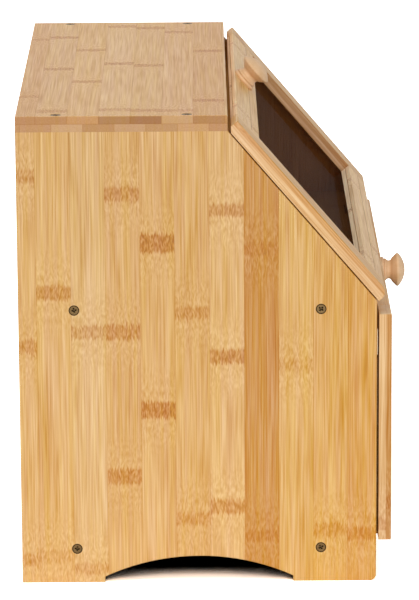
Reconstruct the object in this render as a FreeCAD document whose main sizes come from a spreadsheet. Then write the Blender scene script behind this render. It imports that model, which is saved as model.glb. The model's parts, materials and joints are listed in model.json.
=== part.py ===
"""Bread box with a slanted, glazed fold-down door over a glazed drawer.

The case is five bamboo boards screwed together, with a thin back. The door and the drawer front are
framed panes: two full-length stiles, two rails between them and a clear pane in a rebate behind.

Frame: millimetres, +Z up, X across the width, the front faces -Y. The origin is on the floor, under the
middle of the whole object, knobs included.
"""
import FreeCAD, Part
import math
import os
import Sketcher

doc = FreeCAD.newDocument("bread_box")

# ---------------------------------------------------------------- driving dimensions
SIZES = [
    ("case_width", 368.0, "outside width, over both sides"),
    ("case_depth", 250.0, "depth of a side at its foot"),
    ("case_height", 336.0, "floor to the top of the top panel"),
    ("side_thick", 12.0, "thickness of the two sides"),
    ("top_thick", 11.0, "thickness of the top panel"),
    ("top_depth", 146.5, "depth of the top panel, from the back"),
    ("board_thick", 10.0, "thickness of the shelf and the bottom"),
    ("back_thick", 6.0, "thickness of the back panel"),
    ("shelf_middle", 198.4, "height of the middle of the shelf"),
    ("bottom_middle", 24.9, "height of the middle of the bottom panel"),
    ("door_slope", 49.5, "angle of the slanted front to the floor, degrees"),
    ("arch_width", 133.0, "width of the arch in the foot of a side"),
    ("arch_rise", 19.0, "height of the arch at its middle"),
    ("arch_leg", 4.0, "straight part at each end of the arch"),
    ("foot_round", 4.5, "radius of the lower front corner of a side"),
    ("edge_round", 0.8, "radius of the eased edges"),
    ("frame_round", 1.2, "radius of the outer edges of the door and the drawer front"),
    ("frame_thick", 9.0, "thickness of the door and drawer-front frames"),
    ("stile_width", 28.0, "width of the upright frame members"),
    ("rail_width", 23.8, "width of the cross members"),
    ("door_gap", 0.8, "gap between the slanted edges and the door"),
    ("door_drop", 1.2, "how far the door runs past the foot of the slope"),
    ("door_length", 161.55, "length of the door along the slope"),
    ("door_nose", 6.5, "radius along the outer lower edge of the door"),
    ("door_clear", 2.3, "gap between the top panel and the bevel of the door"),
    ("drawer_gap", 1.5, "gap between the sides and the drawer front"),
    ("front_base", 30.2, "height of the lower edge of the drawer front"),
    ("front_height", 164.0, "height of the drawer front"),
    ("pane_thick", 1.5, "thickness of the panes and depth of their rebate"),
    ("pane_lap", 6.0, "width of the rebate behind the frame"),
    ("pane_play", 0.3, "clearance round a pane in its rebate"),
    ("knob_length", 18.2, "how far a knob stands out"),
    ("knob_head", 25.0, "diameter of the head of a knob"),
    ("knob_neck", 14.0, "diameter of the neck of a knob"),
    ("knob_base", 18.8, "diameter of the first bead at the foot of a knob"),
    ("knob_ring", 16.6, "diameter of the second bead"),
    ("knob_bead", 2.4, "height of the first bead"),
    ("knob_beads", 4.4, "height of both beads"),
    ("knob_flare", 8.2, "where the cone under the head begins"),
    ("knob_rim_low", 11.3, "where the rounded rim begins"),
    ("knob_rim_high", 13.6, "where the dome begins"),
    ("knob_rim", 1.5, "radius of the rounded rim"),
    ("door_knob_inset", 9.4, "from the upper edge of the door to its knob's axis"),
    ("drawer_knob_inset", 12.3, "from the upper edge of the drawer front to its knob's axis"),
    ("screw_head", 7.6, "diameter of the countersunk screw heads"),
    ("screw_shank", 3.6, "diameter of the screw shanks"),
    ("screw_length", 34.0, "length of the case screws"),
    ("back_screw_length", 20.0, "length of the screws in the back and the drawer box"),
    ("knob_screw_length", 16.0, "length of the screws that hold the knobs"),
    ("back_screw_span", 120.0, "spacing of the screws across the back"),
    ("side_screw_span", 172.0, "front to back spacing of the screws in a side"),
    ("top_screw_inset", 28.0, "from an edge of the top panel to a screw"),
    ("box_thick", 8.0, "thickness of the drawer box boards"),
    ("box_height", 129.0, "height of the drawer box"),
    ("box_lift", 0.7, "clearance under the drawer box"),
    ("box_play", 1.5, "clearance at each side of the drawer box"),
    ("box_stop", 0.5, "clearance behind the drawer box when it is shut"),
    ("tray_thick", 4.0, "thickness of the drawer's bottom"),
    ("tray_lift", 8.0, "height of the drawer's bottom above the box edge"),
    ("tray_groove", 4.0, "depth of the groove that holds the drawer's bottom"),
    ("guide_width", 12.0, "width of the strips over the drawer box"),
    ("guide_height", 10.0, "height of the strips over the drawer box"),
    ("hinge_length", 30.0, "length of a hinge along its pin"),
    ("hinge_spacing", 220.0, "distance between the middles of the hinges"),
    ("leaf_width", 13.0, "from the pin to the edge of a leaf"),
    ("leaf_thick", 0.9, "thickness of a leaf"),
    ("barrel_radius", 1.6, "outer radius of the hinge barrel"),
    ("pin_radius", 0.8, "radius of the hinge pin"),
    ("pin_along", -0.7, "place of the pin along the slope, from its foot"),
    ("pin_out", 0.5, "place of the pin out from the slope"),
    ("leaf_recess", 2.0, "how far a leaf stands back from the other leaf's knuckles"),
    ("knuckle_play", 0.3, "gap at each end of the middle knuckle"),
    ("pin_play", 0.05, "clearance between the pin and the middle knuckle"),
    ("notch_depth", 2.1, "depth and width of the notches that clear the barrel"),
    ("leaf_screw_head", 3.4, "diameter of the heads of the hinge screws"),
    ("leaf_screw_shank", 2.0, "diameter of the shanks of the hinge screws"),
    ("leaf_screw_length", 8.0, "length of the hinge screws"),
    ("leaf_screw_in", 8.0, "from the pin to the hinge screws"),
    ("leaf_screw_span", 20.0, "spacing of the two screws in a leaf"),
    ("vent_radius", 3.0, "radius of the vent holes in the back"),
    ("vent_pitch", 30.0, "spacing of the vent holes"),
]

sheet = doc.addObject("Spreadsheet::Sheet", "Sizes")
for row, (alias, value, note) in enumerate(SIZES, start=1):
    sheet.set(f"A{row}", alias)
    sheet.set(f"B{row}", str(value))
    sheet.setAlias(f"B{row}", alias)
    sheet.set(f"C{row}", note)
doc.recompute()


def value_of(expression):
    """Number that an expression of the sheet's cells gives."""
    return float(sheet.evalExpression(expression))


def bind(thing, name, expression):
    """Tie a property to the sheet."""
    thing.setExpression(name, expression)


# ---------------------------------------------------------------- places worked out from the sizes
FRONT_REACH = "(Sizes.drawer_gap + Sizes.frame_thick + Sizes.knob_length)"
FRONT_Y = f"(({FRONT_REACH} - Sizes.case_depth) / 2)"
BACK_Y = f"({FRONT_Y} + Sizes.case_depth)"
HALF_WIDTH = "(Sizes.case_width / 2)"
HALF_INSIDE = "(Sizes.case_width / 2 - Sizes.side_thick)"
TOP_UNDER = "(Sizes.case_height - Sizes.top_thick)"
TOP_SETBACK = "(Sizes.case_depth - Sizes.top_depth)"
SLOPE_FOOT = f"({TOP_UNDER} - {TOP_SETBACK} * tan(Sizes.door_slope))"
SHELF_UNDER = "(Sizes.shelf_middle - Sizes.board_thick / 2)"
SHELF_TOP = "(Sizes.shelf_middle + Sizes.board_thick / 2)"
BOTTOM_UNDER = "(Sizes.bottom_middle - Sizes.board_thick / 2)"
BOTTOM_TOP = "(Sizes.bottom_middle + Sizes.board_thick / 2)"
INSIDE_DEPTH = "(Sizes.case_depth - Sizes.back_thick)"
BOX_BASE = f"({BOTTOM_TOP} + Sizes.box_lift)"
BOX_HALF = f"({HALF_INSIDE} - Sizes.box_play)"
GUIDE_BASE = f"({BOX_BASE} + Sizes.box_height + 2 * Sizes.box_lift)"
BOX_LENGTH = f"({INSIDE_DEPTH} - Sizes.box_stop + Sizes.drawer_gap)"

X_AXIS = FreeCAD.Vector(1, 0, 0)
Y_AXIS = FreeCAD.Vector(0, 1, 0)
Z_AXIS = FreeCAD.Vector(0, 0, 1)

nodes = []


# ---------------------------------------------------------------- helpers for bodies and sketches
def new_body(label):
    """A new body that becomes one node of the part."""
    body = doc.addObject("PartDesign::Body", label)
    body.Label = label
    nodes.append(body)
    return body


def origin_plane(body, role):
    """One of the body's own three base planes."""
    return next(item for item in body.Origin.OriginFeatures if item.Role == role)


def new_sketch(body, name, role, offset="0"):
    """Empty sketch on a base plane of the body, moved out along the plane's normal by offset."""
    sketch = body.newObject("Sketcher::SketchObject", name)
    sketch.AttachmentSupport = [(origin_plane(body, role), "")]
    sketch.MapMode = "FlatFace"
    if offset != "0":
        bind(sketch, ".AttachmentOffset.Base.z", offset)
    return sketch


def pin_point(sketch, geometry, end, across, up):
    """Tie one end of a curve to a place given by two expressions."""
    for kind, expression, axis in (("DistanceX", across, -2), ("DistanceY", up, -1)):
        if expression == "0":
            sketch.addConstraint(Sketcher.Constraint("PointOnObject", geometry, end, axis))
        else:
            number = sketch.addConstraint(
                Sketcher.Constraint(kind, -1, 1, geometry, end, value_of(expression)))
            bind(sketch, f"Constraints[{number}]", expression)


def draw_outline(sketch, corners, bulges=None):
    """Closed outline through corners, each a pair of expressions, taken anticlockwise.

    A side of the outline is straight unless bulges gives it a radius: the arc then swells outwards,
    or inwards where the radius is marked as hollow.
    """
    bulges = bulges or {}
    points = [FreeCAD.Vector(value_of(x), value_of(y), 0) for x, y in corners]
    count = len(points)
    first = sketch.GeometryCount
    ends = []
    for i in range(count):
        start, finish = points[i], points[(i + 1) % count]
        if i in bulges:
            radius, hollow = bulges[i]
            sketch.addGeometry(arc_between(start, finish, value_of(radius), hollow))
            ends.append((2, 1) if hollow else (1, 2))
        else:
            sketch.addGeometry(Part.LineSegment(start, finish))
            ends.append((1, 2))
    for i in range(count):
        following = (i + 1) % count
        sketch.addConstraint(Sketcher.Constraint(
            "Coincident", first + i, ends[i][1], first + following, ends[following][0]))
    for i, (across, up) in enumerate(corners):
        pin_point(sketch, first + i, ends[i][0], across, up)
    for i, (radius, hollow) in bulges.items():
        number = sketch.addConstraint(Sketcher.Constraint("Radius", first + i, value_of(radius)))
        bind(sketch, f"Constraints[{number}]", radius)


def arc_between(start, finish, radius, hollow):
    """Arc of the given radius on the outer side of a chord, or on its inner side if hollow."""
    chord = finish - start
    outwards = FreeCAD.Vector(chord.y, -chord.x, 0).normalize()
    if hollow:
        outwards = outwards * -1
    middle = (start + finish) * 0.5
    hub = middle - outwards * math.sqrt(radius ** 2 - (chord.Length / 2) ** 2)
    if hollow:
        start, finish = finish, start
    angles = [math.atan2(end.y - hub.y, end.x - hub.x) for end in (start, finish)]
    if angles[1] < angles[0]:
        angles[1] += 2 * math.pi
    return Part.ArcOfCircle(Part.Circle(hub, Z_AXIS, radius), angles[0], angles[1])


def draw_circle(sketch, across, up, radius):
    """Circle with its centre and radius tied to expressions."""
    centre = FreeCAD.Vector(value_of(across), value_of(up), 0)
    circle = sketch.addGeometry(Part.Circle(centre, Z_AXIS, value_of(radius)))
    pin_point(sketch, circle, 3, across, up)
    number = sketch.addConstraint(Sketcher.Constraint("Radius", circle, value_of(radius)))
    bind(sketch, f"Constraints[{number}]", radius)


def rectangle(left, low, right, high):
    """Four corners of an upright rectangle."""
    return [(left, low), (right, low), (right, high), (left, high)]


def pad(body, sketch, length, backwards=False):
    """Pad a sketch by a length taken from the sheet."""
    feature = body.newObject("PartDesign::Pad", f"{body.Label}_pad")
    feature.Profile = sketch
    bind(feature, "Length", length)
    feature.Reversed = backwards
    sketch.Visibility = False
    doc.recompute()
    return feature


def pocket(body, sketch, length, backwards=False):
    """Cut a sketch out of the body, and make sure that something was cut."""
    before = body.Shape.Volume
    feature = body.newObject("PartDesign::Pocket", f"{body.Label}_pocket")
    feature.Profile = sketch
    bind(feature, "Length", length)
    feature.Reversed = backwards
    sketch.Visibility = False
    doc.recompute()
    if body.Shape.Volume > before - 0.1:
        raise RuntimeError(f"{feature.Name} cut nothing")
    return feature


def revolve(body, sketch):
    """Turn a profile once round the upright axis of its sketch."""
    feature = body.newObject("PartDesign::Revolution", f"{body.Label}_turned")
    feature.Profile = sketch
    feature.ReferenceAxis = (sketch, ["V_Axis"])
    feature.Angle = 360
    sketch.Visibility = False
    doc.recompute()
    return feature


def round_edges(body, radius, wanted):
    """Fillet every straight edge of the body that wanted(first end, second end) picks."""
    names = []
    base = body.Tip
    for number, edge in enumerate(base.Shape.Edges, start=1):
        if len(edge.Vertexes) == 2 and wanted(edge.Vertexes[0].Point, edge.Vertexes[1].Point):
            names.append(f"Edge{number}")
    if not names:
        raise RuntimeError(f"no edge to round on {body.Label}")
    feature = body.newObject("PartDesign::Fillet", f"{body.Label}_fillet")
    feature.Base = (base, names)
    bind(feature, "Radius", radius)
    doc.recompute()
    return feature


def place(thing, across="0", along="0", up="0", turn=None):
    """Place a node by expressions; turn is an angle about X."""
    if turn is not None:
        thing.Placement = FreeCAD.Placement(FreeCAD.Vector(), FreeCAD.Rotation(X_AXIS, value_of(turn)))
        bind(thing, ".Placement.Rotation.Angle", turn)
    bind(thing, ".Placement.Base.x", across)
    bind(thing, ".Placement.Base.y", along)
    bind(thing, ".Placement.Base.z", up)


def near(a, b):
    """Whether two lengths agree closely enough to be the same place."""
    return abs(a - b) < 0.01


def along_x(p, q):
    """Whether an edge runs across the width."""
    return near(p.y, q.y) and near(p.z, q.z)


# ---------------------------------------------------------------- case boards
def countersunk_holes(body, sketch, depth, backwards, shank="Sizes.screw_shank", head="Sizes.screw_head"):
    """Drill the circles of a sketch and open each one for a flat head."""
    doc.recompute()
    before = body.Shape.Volume
    hole = body.newObject("PartDesign::Hole", f"{body.Label}_holes")
    hole.Profile = sketch
    doc.recompute()
    hole.Threaded = False
    hole.DepthType = "Dimension"
    hole.HoleCutType = "Countersink"
    hole.HoleCutCustomValues = True
    hole.HoleCutCountersinkAngle = 90
    hole.Reversed = backwards
    hole.DrillPoint = "Flat"
    bind(hole, "Diameter", shank)
    bind(hole, "Depth", depth)
    bind(hole, "HoleCutDiameter", head)
    sketch.Visibility = False
    doc.recompute()
    if body.Shape.Volume > before - 0.1:
        raise RuntimeError(f"{hole.Name} cut nothing")
    return hole


def drill(body, role, offset, circles, radius, depth, backwards=False):
    """Round holes of one depth from a plane into the body; circles holds pairs of expressions."""
    sketch = new_sketch(body, f"{body.Label}_drill", role, offset)
    for across, up in circles:
        draw_circle(sketch, across, up, radius)
    doc.recompute()
    return pocket(body, sketch, depth, backwards)


def cut_block(body, role, offset, corners, depth, backwards=False):
    """Rectangular cut of one depth from a plane into the body."""
    sketch = new_sketch(body, f"{body.Label}_cut", role, offset)
    draw_outline(sketch, corners)
    doc.recompute()
    return pocket(body, sketch, depth, backwards)


SIDE_SCREWS = [(f"({FRONT_Y} + (Sizes.case_depth {sign} Sizes.side_screw_span) / 2)", height)
               for sign in "-+" for height in ("Sizes.shelf_middle", "Sizes.bottom_middle")]


TOP_SCREW_X = [f"-({HALF_WIDTH} - Sizes.side_thick / 2)", f"({HALF_WIDTH} - Sizes.side_thick / 2)"]
TOP_SCREW_Y = [f"({FRONT_Y} + {TOP_SETBACK} + Sizes.top_screw_inset)",
               f"({BACK_Y} - Sizes.top_screw_inset)"]


def make_side(label, sign):
    """One side. Its outer face is on the body's YZ plane and the board lies inwards of it."""
    body = new_body(label)
    inwards = sign < 0
    outline = new_sketch(body, f"{label}_outline", "YZ_Plane")
    draw_outline(outline, [
        (FRONT_Y, "0"),
        (BACK_Y, "0"),
        (BACK_Y, TOP_UNDER),
        (f"({FRONT_Y} + {TOP_SETBACK})", TOP_UNDER),
        (FRONT_Y, SLOPE_FOOT),
    ])
    pad(body, outline, "Sizes.side_thick", backwards=not inwards)
    arch = new_sketch(body, f"{label}_arch", "YZ_Plane")
    draw_arch(arch)
    pocket(body, arch, "Sizes.side_thick", backwards=inwards)
    front = value_of(FRONT_Y)
    top = value_of(TOP_UNDER)
    round_edges(body, "Sizes.foot_round",
                lambda p, q: along_x(p, q) and near(p.y, front) and near(p.z, 0))
    round_edges(body, "Sizes.edge_round",
                lambda p, q: near(p.x, 0) and near(q.x, 0) and not (near(p.z, top) and near(q.z, top)))
    holes = new_sketch(body, f"{label}_screws", "YZ_Plane")
    for along, height in SIDE_SCREWS:
        draw_circle(holes, along, height, "Sizes.screw_shank / 2")
    countersunk_holes(body, holes, "Sizes.side_thick", backwards=inwards)
    middle = f"{-sign} * Sizes.side_thick / 2"
    drill(body, "XY_Plane", TOP_UNDER, [(middle, along) for along in TOP_SCREW_Y], "Sizes.screw_shank / 2",
          "(Sizes.screw_length - Sizes.top_thick)")
    place(body, across=f"{sign} * {HALF_WIDTH}")
    return body


def draw_arch(sketch):
    """Arch with short upright legs under a shallow arc, centred on the depth of the case."""
    middle = f"({FRONT_Y} + Sizes.case_depth / 2)"
    left = f"({middle} - Sizes.arch_width / 2)"
    right = f"({middle} + Sizes.arch_width / 2)"
    spring = "(Sizes.arch_rise - Sizes.arch_leg)"
    radius = f"(((Sizes.arch_width / 2) ^ 2 + {spring} ^ 2) / (2 * {spring}))"
    draw_outline(sketch, [(left, "0"), (right, "0"), (right, "Sizes.arch_leg"), (left, "Sizes.arch_leg")],
                 bulges={2: (radius, False)})


def make_board(label, left, low, right, high, base, thick):
    """Flat board between two heights, from a rectangle in plan."""
    body = new_body(label)
    outline = new_sketch(body, f"{label}_outline", "XY_Plane")
    draw_outline(outline, rectangle(left, low, right, high))
    pad(body, outline, thick)
    place(body, up=base)
    return body


def make_top_panel():
    """Top board, over the sides and the back, with four countersunk screw holes."""
    front = f"({FRONT_Y} + {TOP_SETBACK})"
    body = make_board("top_panel", f"-{HALF_WIDTH}", front, HALF_WIDTH, BACK_Y, TOP_UNDER, "Sizes.top_thick")
    thick = value_of("Sizes.top_thick")
    round_edges(body, "Sizes.edge_round", lambda p, q: near(p.z, thick) and near(q.z, thick))
    holes = new_sketch(body, "top_panel_screws", "XY_Plane", offset="Sizes.top_thick")
    for across in TOP_SCREW_X:
        for along in TOP_SCREW_Y:
            draw_circle(holes, across, along, "Sizes.screw_shank / 2")
    countersunk_holes(body, holes, "Sizes.top_thick", backwards=False)
    return body


BACK_SCREW_X = ["-Sizes.back_screw_span", "0", "Sizes.back_screw_span"]
SIDE_SCREW_Y = [SIDE_SCREWS[0][0], SIDE_SCREWS[2][0]]


def make_cross_board(label, base):
    """Shelf or bottom: a board between the sides with pilot holes in its ends and its back edge."""
    back = f"({BACK_Y} - Sizes.back_thick)"
    body = make_board(label, f"-{HALF_INSIDE}", FRONT_Y, HALF_INSIDE, back, base, "Sizes.board_thick")
    middle = "Sizes.board_thick / 2"
    radius = "Sizes.screw_shank / 2"
    ends = [(along, middle) for along in SIDE_SCREW_Y]
    bite = "(Sizes.screw_length - Sizes.side_thick)"
    drill(body, "YZ_Plane", HALF_INSIDE, ends, radius, bite)
    drill(body, "YZ_Plane", f"-{HALF_INSIDE}", ends, radius, bite, backwards=True)
    rear = [(across, middle) for across in BACK_SCREW_X]
    drill(body, "XZ_Plane", f"-{back}", rear, radius, "(Sizes.back_screw_length - Sizes.back_thick)",
          backwards=True)
    return body


def make_back_panel():
    """Thin back between the sides, under the top, with a row of vent holes high up."""
    body = new_body("back_panel")
    outline = new_sketch(body, "back_panel_outline", "XZ_Plane")
    draw_outline(outline, rectangle(f"-{HALF_INSIDE}", BOTTOM_UNDER, HALF_INSIDE, TOP_UNDER))
    pad(body, outline, "Sizes.back_thick")
    steps = (-2, -1, 0, 1, 2)
    vents = [(f"{step} * Sizes.vent_pitch" if step else "0", f"({TOP_UNDER} - Sizes.vent_pitch)")
             for step in steps]
    drill(body, "XZ_Plane", "0", vents, "Sizes.vent_radius", "Sizes.back_thick", backwards=True)
    holes = new_sketch(body, "back_panel_screws", "XZ_Plane")
    for across in BACK_SCREW_X:
        for height in ("Sizes.shelf_middle", "Sizes.bottom_middle"):
            draw_circle(holes, across, height, "Sizes.screw_shank / 2")
    countersunk_holes(body, holes, "Sizes.back_thick", backwards=True)
    place(body, along=BACK_Y)
    return body


side_left = make_side("side_left", -1)
side_right = make_side("side_right", 1)
top_panel = make_top_panel()
middle_shelf = make_cross_board("middle_shelf", SHELF_UNDER)
bottom_panel = make_cross_board("bottom_panel", BOTTOM_UNDER)
back_panel = make_back_panel()

for sign, label in (("-", "drawer_guide_left"), ("", "drawer_guide_right")):
    inner = f"({HALF_INSIDE} - Sizes.guide_width)"
    outer = HALF_INSIDE
    low, high = (f"-{outer}", f"-{inner}") if sign else (inner, outer)
    rear = f"({BACK_Y} - Sizes.back_thick - Sizes.guide_height)"
    make_board(label, low, f"({FRONT_Y} + Sizes.guide_height)", high, rear, GUIDE_BASE, "Sizes.guide_height")


# ---------------------------------------------------------------- screws
def make_screw(name, length, turn, shank="Sizes.screw_shank", head="Sizes.screw_head"):
    """Countersunk screw whose head lies in the local XY plane, facing +Z, turned by (axis, angle)."""
    body = doc.addObject("Part::Cylinder", f"{name}_shank")
    bind(body, "Radius", f"{shank} / 2")
    bind(body, "Height", length)
    bind(body, ".Placement.Base.z", f"-{length}")
    cone = doc.addObject("Part::Cone", f"{name}_head")
    bind(cone, "Radius1", f"{shank} / 2")
    bind(cone, "Radius2", f"{head} / 2")
    bind(cone, "Height", f"({head} - {shank}) / 2")
    bind(cone, ".Placement.Base.z", f"-({head} - {shank}) / 2")
    whole = doc.addObject("Part::MultiFuse", name)
    whole.Shapes = [body, cone]
    axis, angle = turn
    whole.Placement = FreeCAD.Placement(FreeCAD.Vector(), FreeCAD.Rotation(axis, value_of(angle)))
    if angle != "0":
        bind(whole, ".Placement.Rotation.Angle", angle)
    return whole


def make_screws(label, screws):
    """One node of separate screws; each is (across, along, up, turn, length, shank, head)."""
    group = doc.addObject("Part::Compound", label)
    group.Label = label
    made = []
    for number, (across, along, up, turn, length, shank, head) in enumerate(screws, start=1):
        screw = make_screw(f"{label}_{number}", length, turn, shank, head)
        bind(screw, ".Placement.Base.x", across)
        bind(screw, ".Placement.Base.y", along)
        bind(screw, ".Placement.Base.z", up)
        made.append(screw)
    group.Links = made
    nodes.append(group)
    return group


WOOD_SCREW = ("Sizes.screw_shank", "Sizes.screw_head")
FACING_LEFT = (Y_AXIS, "-90")
FACING_RIGHT = (Y_AXIS, "90")
FACING_UP = (X_AXIS, "0")
FACING_BACK = (X_AXIS, "-90")

make_screws("side_screws", [
    (f"{sign}{HALF_WIDTH}", along, height, turn, "Sizes.screw_length", *WOOD_SCREW)
    for sign, turn in (("-", FACING_LEFT), ("", FACING_RIGHT))
    for along, height in SIDE_SCREWS])
make_screws("top_screws", [
    (across, along, "Sizes.case_height", FACING_UP, "Sizes.screw_length", *WOOD_SCREW)
    for across in TOP_SCREW_X for along in TOP_SCREW_Y])
make_screws("back_screws", [
    (across, BACK_Y, height, FACING_BACK, "Sizes.back_screw_length", *WOOD_SCREW)
    for across in BACK_SCREW_X for height in ("Sizes.shelf_middle", "Sizes.bottom_middle")])

# ---------------------------------------------------------------- framed panes
# A frame lies flat in its own coordinates: X across, Y up the frame, Z outwards from the case.
WINDOW_HALF = f"({HALF_WIDTH} - Sizes.stile_width)"
DOOR_HIGH = "(Sizes.door_length - Sizes.door_drop)"
DOOR_OUT = "(Sizes.door_gap + Sizes.frame_thick)"
BEVEL_REACH = f"({TOP_SETBACK} - Sizes.door_clear)"
BEVEL_LOW = f"(({BEVEL_REACH} + Sizes.door_gap * sin(Sizes.door_slope)) / cos(Sizes.door_slope))"
BEVEL_OUT = f"(({DOOR_HIGH} * cos(Sizes.door_slope) - {BEVEL_REACH}) / sin(Sizes.door_slope))"


class Frame:
    """Where a frame stands and how its end profile runs, as expressions."""

    def __init__(self, prefix, turn, up, gap, low, high, nose=None, bevel=None):
        self.prefix = prefix
        self.turn = turn
        self.up = up
        self.gap = gap
        self.out = f"({gap} + Sizes.frame_thick)"
        self.low = low
        self.high = high
        self.nose = nose
        self.bevel = bevel

    def profile(self, low, high):
        """Corners of the section between two heights, seen along X."""
        if high == self.high and self.bevel:
            bevel_low, bevel_out = self.bevel
            return [(low, self.gap), (bevel_low, self.gap), (high, bevel_out), (high, self.out),
                    (low, self.out)]
        return rectangle(low, self.gap, high, self.out)

    def place(self, thing, across="0"):
        """Stand a piece of the frame where the frame is."""
        place(thing, across=across, along=FRONT_Y, up=self.up, turn=self.turn)


def start_member(frame, label, low, high, length):
    """Bar with the frame's end profile between two heights, padded along X from the body's origin."""
    body = new_body(label)
    section = new_sketch(body, f"{label}_section", "YZ_Plane")
    draw_outline(section, frame.profile(low, high))
    pad(body, section, length)
    if frame.nose and low == frame.low:
        edge_y, edge_z = value_of(low), value_of(frame.out)
        round_edges(body, frame.nose,
                    lambda p, q: along_x(p, q) and near(p.y, edge_y) and near(p.z, edge_z))
    return body


def make_stile(frame, label, sign):
    """Upright of a frame, with a rebate for the pane behind its inner edge."""
    body = start_member(frame, label, frame.low, frame.high, "Sizes.stile_width")
    edge = 0.0 if sign < 0 else value_of("Sizes.stile_width")
    face, top = value_of(frame.out), value_of(frame.high)
    round_edges(body, "Sizes.frame_round",
                lambda p, q: near(p.z, face) and near(q.z, face) and (
                    (near(p.x, edge) and near(q.x, edge)) or (near(p.y, top) and near(q.y, top))))
    rebate_low = f"({frame.low} + Sizes.rail_width - Sizes.pane_lap)"
    rebate_high = f"({frame.high} - Sizes.rail_width + Sizes.pane_lap)"
    if sign < 0:
        span = ("(Sizes.stile_width - Sizes.pane_lap)", "Sizes.stile_width")
    else:
        span = ("0", "Sizes.pane_lap")
    cut_block(body, "XY_Plane", frame.gap, rectangle(span[0], rebate_low, span[1], rebate_high),
              "Sizes.pane_thick", backwards=True)
    frame.place(body, across=f"-{HALF_WIDTH}" if sign < 0 else WINDOW_HALF)
    return body


def make_rail(frame, label, low, high, rebate):
    """Cross member between the stiles; rebate gives the two heights of its pane rebate."""
    body = start_member(frame, label, low, high, f"(2 * {WINDOW_HALF})")
    if high == frame.high:
        face, top = value_of(frame.out), value_of(frame.high)
        round_edges(body, "Sizes.frame_round",
                    lambda p, q: along_x(p, q) and near(p.y, top) and near(p.z, face))
    cut_block(body, "XY_Plane", frame.gap, rectangle("0", rebate[0], f"(2 * {WINDOW_HALF})", rebate[1]),
              "Sizes.pane_thick", backwards=True)
    frame.place(body, across=f"-{WINDOW_HALF}")
    return body


def make_pane(frame):
    """Clear sheet in the rebate, flush with the back of the frame."""
    body = new_body(f"{frame.prefix}_pane")
    reach = "(Sizes.pane_lap - Sizes.pane_play)"
    outline = new_sketch(body, f"{frame.prefix}_pane_outline", "XY_Plane", offset=frame.gap)
    draw_outline(outline, rectangle(
        f"-({WINDOW_HALF} + {reach})", f"({frame.low} + Sizes.rail_width - {reach})",
        f"({WINDOW_HALF} + {reach})", f"({frame.high} - Sizes.rail_width + {reach})"))
    pad(body, outline, "Sizes.pane_thick")
    frame.place(body)
    return body


def make_knob(frame):
    """Turned knob: two beads, a waist and a domed head, bored for its screw."""
    body = new_body(f"{frame.prefix}_knob")
    foot = "(Sizes.knob_base / 2 - Sizes.knob_bead / 5)"
    ring = "(Sizes.knob_ring / 2 - Sizes.knob_bead / 5)"
    cone = "(Sizes.knob_neck / 2 + Sizes.knob_rim)"
    rim = "(Sizes.knob_head / 2 - Sizes.knob_rim / 3)"
    under = "(Sizes.knob_head / 2 - Sizes.knob_rim / 2)"
    bore = "Sizes.screw_shank / 2"
    depth = "(Sizes.knob_screw_length - Sizes.frame_thick)"
    dome_rise = "(Sizes.knob_length - Sizes.knob_rim_high)"
    outline = new_sketch(body, f"{frame.prefix}_knob_outline", "XZ_Plane")
    draw_outline(outline, [
        (bore, "0"),
        (foot, "0"),
        (foot, "Sizes.knob_bead"),
        (ring, "Sizes.knob_bead"),
        (ring, "Sizes.knob_beads"),
        (cone, "Sizes.knob_flare"),
        (under, "Sizes.knob_rim_low"),
        (rim, "Sizes.knob_rim_high"),
        ("0", "Sizes.knob_length"),
        ("0", depth),
        (bore, depth),
    ], bulges={
        1: ("0.7 * Sizes.knob_bead", False),
        3: ("0.5 * Sizes.knob_bead", False),
        4: ("0.15 * Sizes.knob_neck", True),
        6: ("Sizes.knob_rim", False),
        7: (f"(({rim} ^ 2 + {dome_rise} ^ 2) / (2 * {dome_rise}))", False),
    })
    revolve(body, outline)
    knob_up = f"({frame.high} - Sizes.{frame.prefix}_knob_inset)"
    place_on_frame(body, frame, knob_up, frame.out, frame.turn)
    return body


def place_on_frame(thing, frame, up_frame, out, turn):
    """Place a thing at a height up a frame and a distance out from its base plane."""
    place(thing, along=on_frame_y(frame, up_frame, out), up=on_frame_z(frame, up_frame, out), turn=turn)


def on_frame_y(frame, up_frame, out):
    """World Y of a point given by its height up a frame and its distance out."""
    return f"({FRONT_Y} + {up_frame} * cos({frame.turn}) - {out} * sin({frame.turn}))"


def on_frame_z(frame, up_frame, out):
    """World Z of a point given by its height up a frame and its distance out."""
    return f"({frame.up} + {up_frame} * sin({frame.turn}) + {out} * cos({frame.turn}))"


def make_framed_pane(frame):
    """All the members of one frame, its pane, its knob and the knob's screw."""
    make_stile(frame, f"{frame.prefix}_stile_left", -1)
    make_stile(frame, f"{frame.prefix}_stile_right", 1)
    low_edge = f"({frame.low} + Sizes.rail_width)"
    high_edge = f"({frame.high} - Sizes.rail_width)"
    top = make_rail(frame, f"{frame.prefix}_top_rail", high_edge, frame.high,
                    (high_edge, f"({high_edge} + Sizes.pane_lap)"))
    bottom = make_rail(frame, f"{frame.prefix}_bottom_rail", frame.low, low_edge,
                       (f"({low_edge} - Sizes.pane_lap)", low_edge))
    make_pane(frame)
    make_knob(frame)
    knob_up = f"({frame.high} - Sizes.{frame.prefix}_knob_inset)"
    holes = new_sketch(top, f"{frame.prefix}_knob_hole", "XY_Plane", offset=frame.gap)
    draw_circle(holes, WINDOW_HALF, knob_up, "Sizes.screw_shank / 2")
    countersunk_holes(top, holes, "Sizes.frame_thick", backwards=True)
    make_screws(f"{frame.prefix}_knob_screw", [
        ("0", on_frame_y(frame, knob_up, frame.gap), on_frame_z(frame, knob_up, frame.gap),
         (X_AXIS, f"{frame.turn} + 180"), "Sizes.knob_screw_length", *WOOD_SCREW)])
    return bottom


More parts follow.
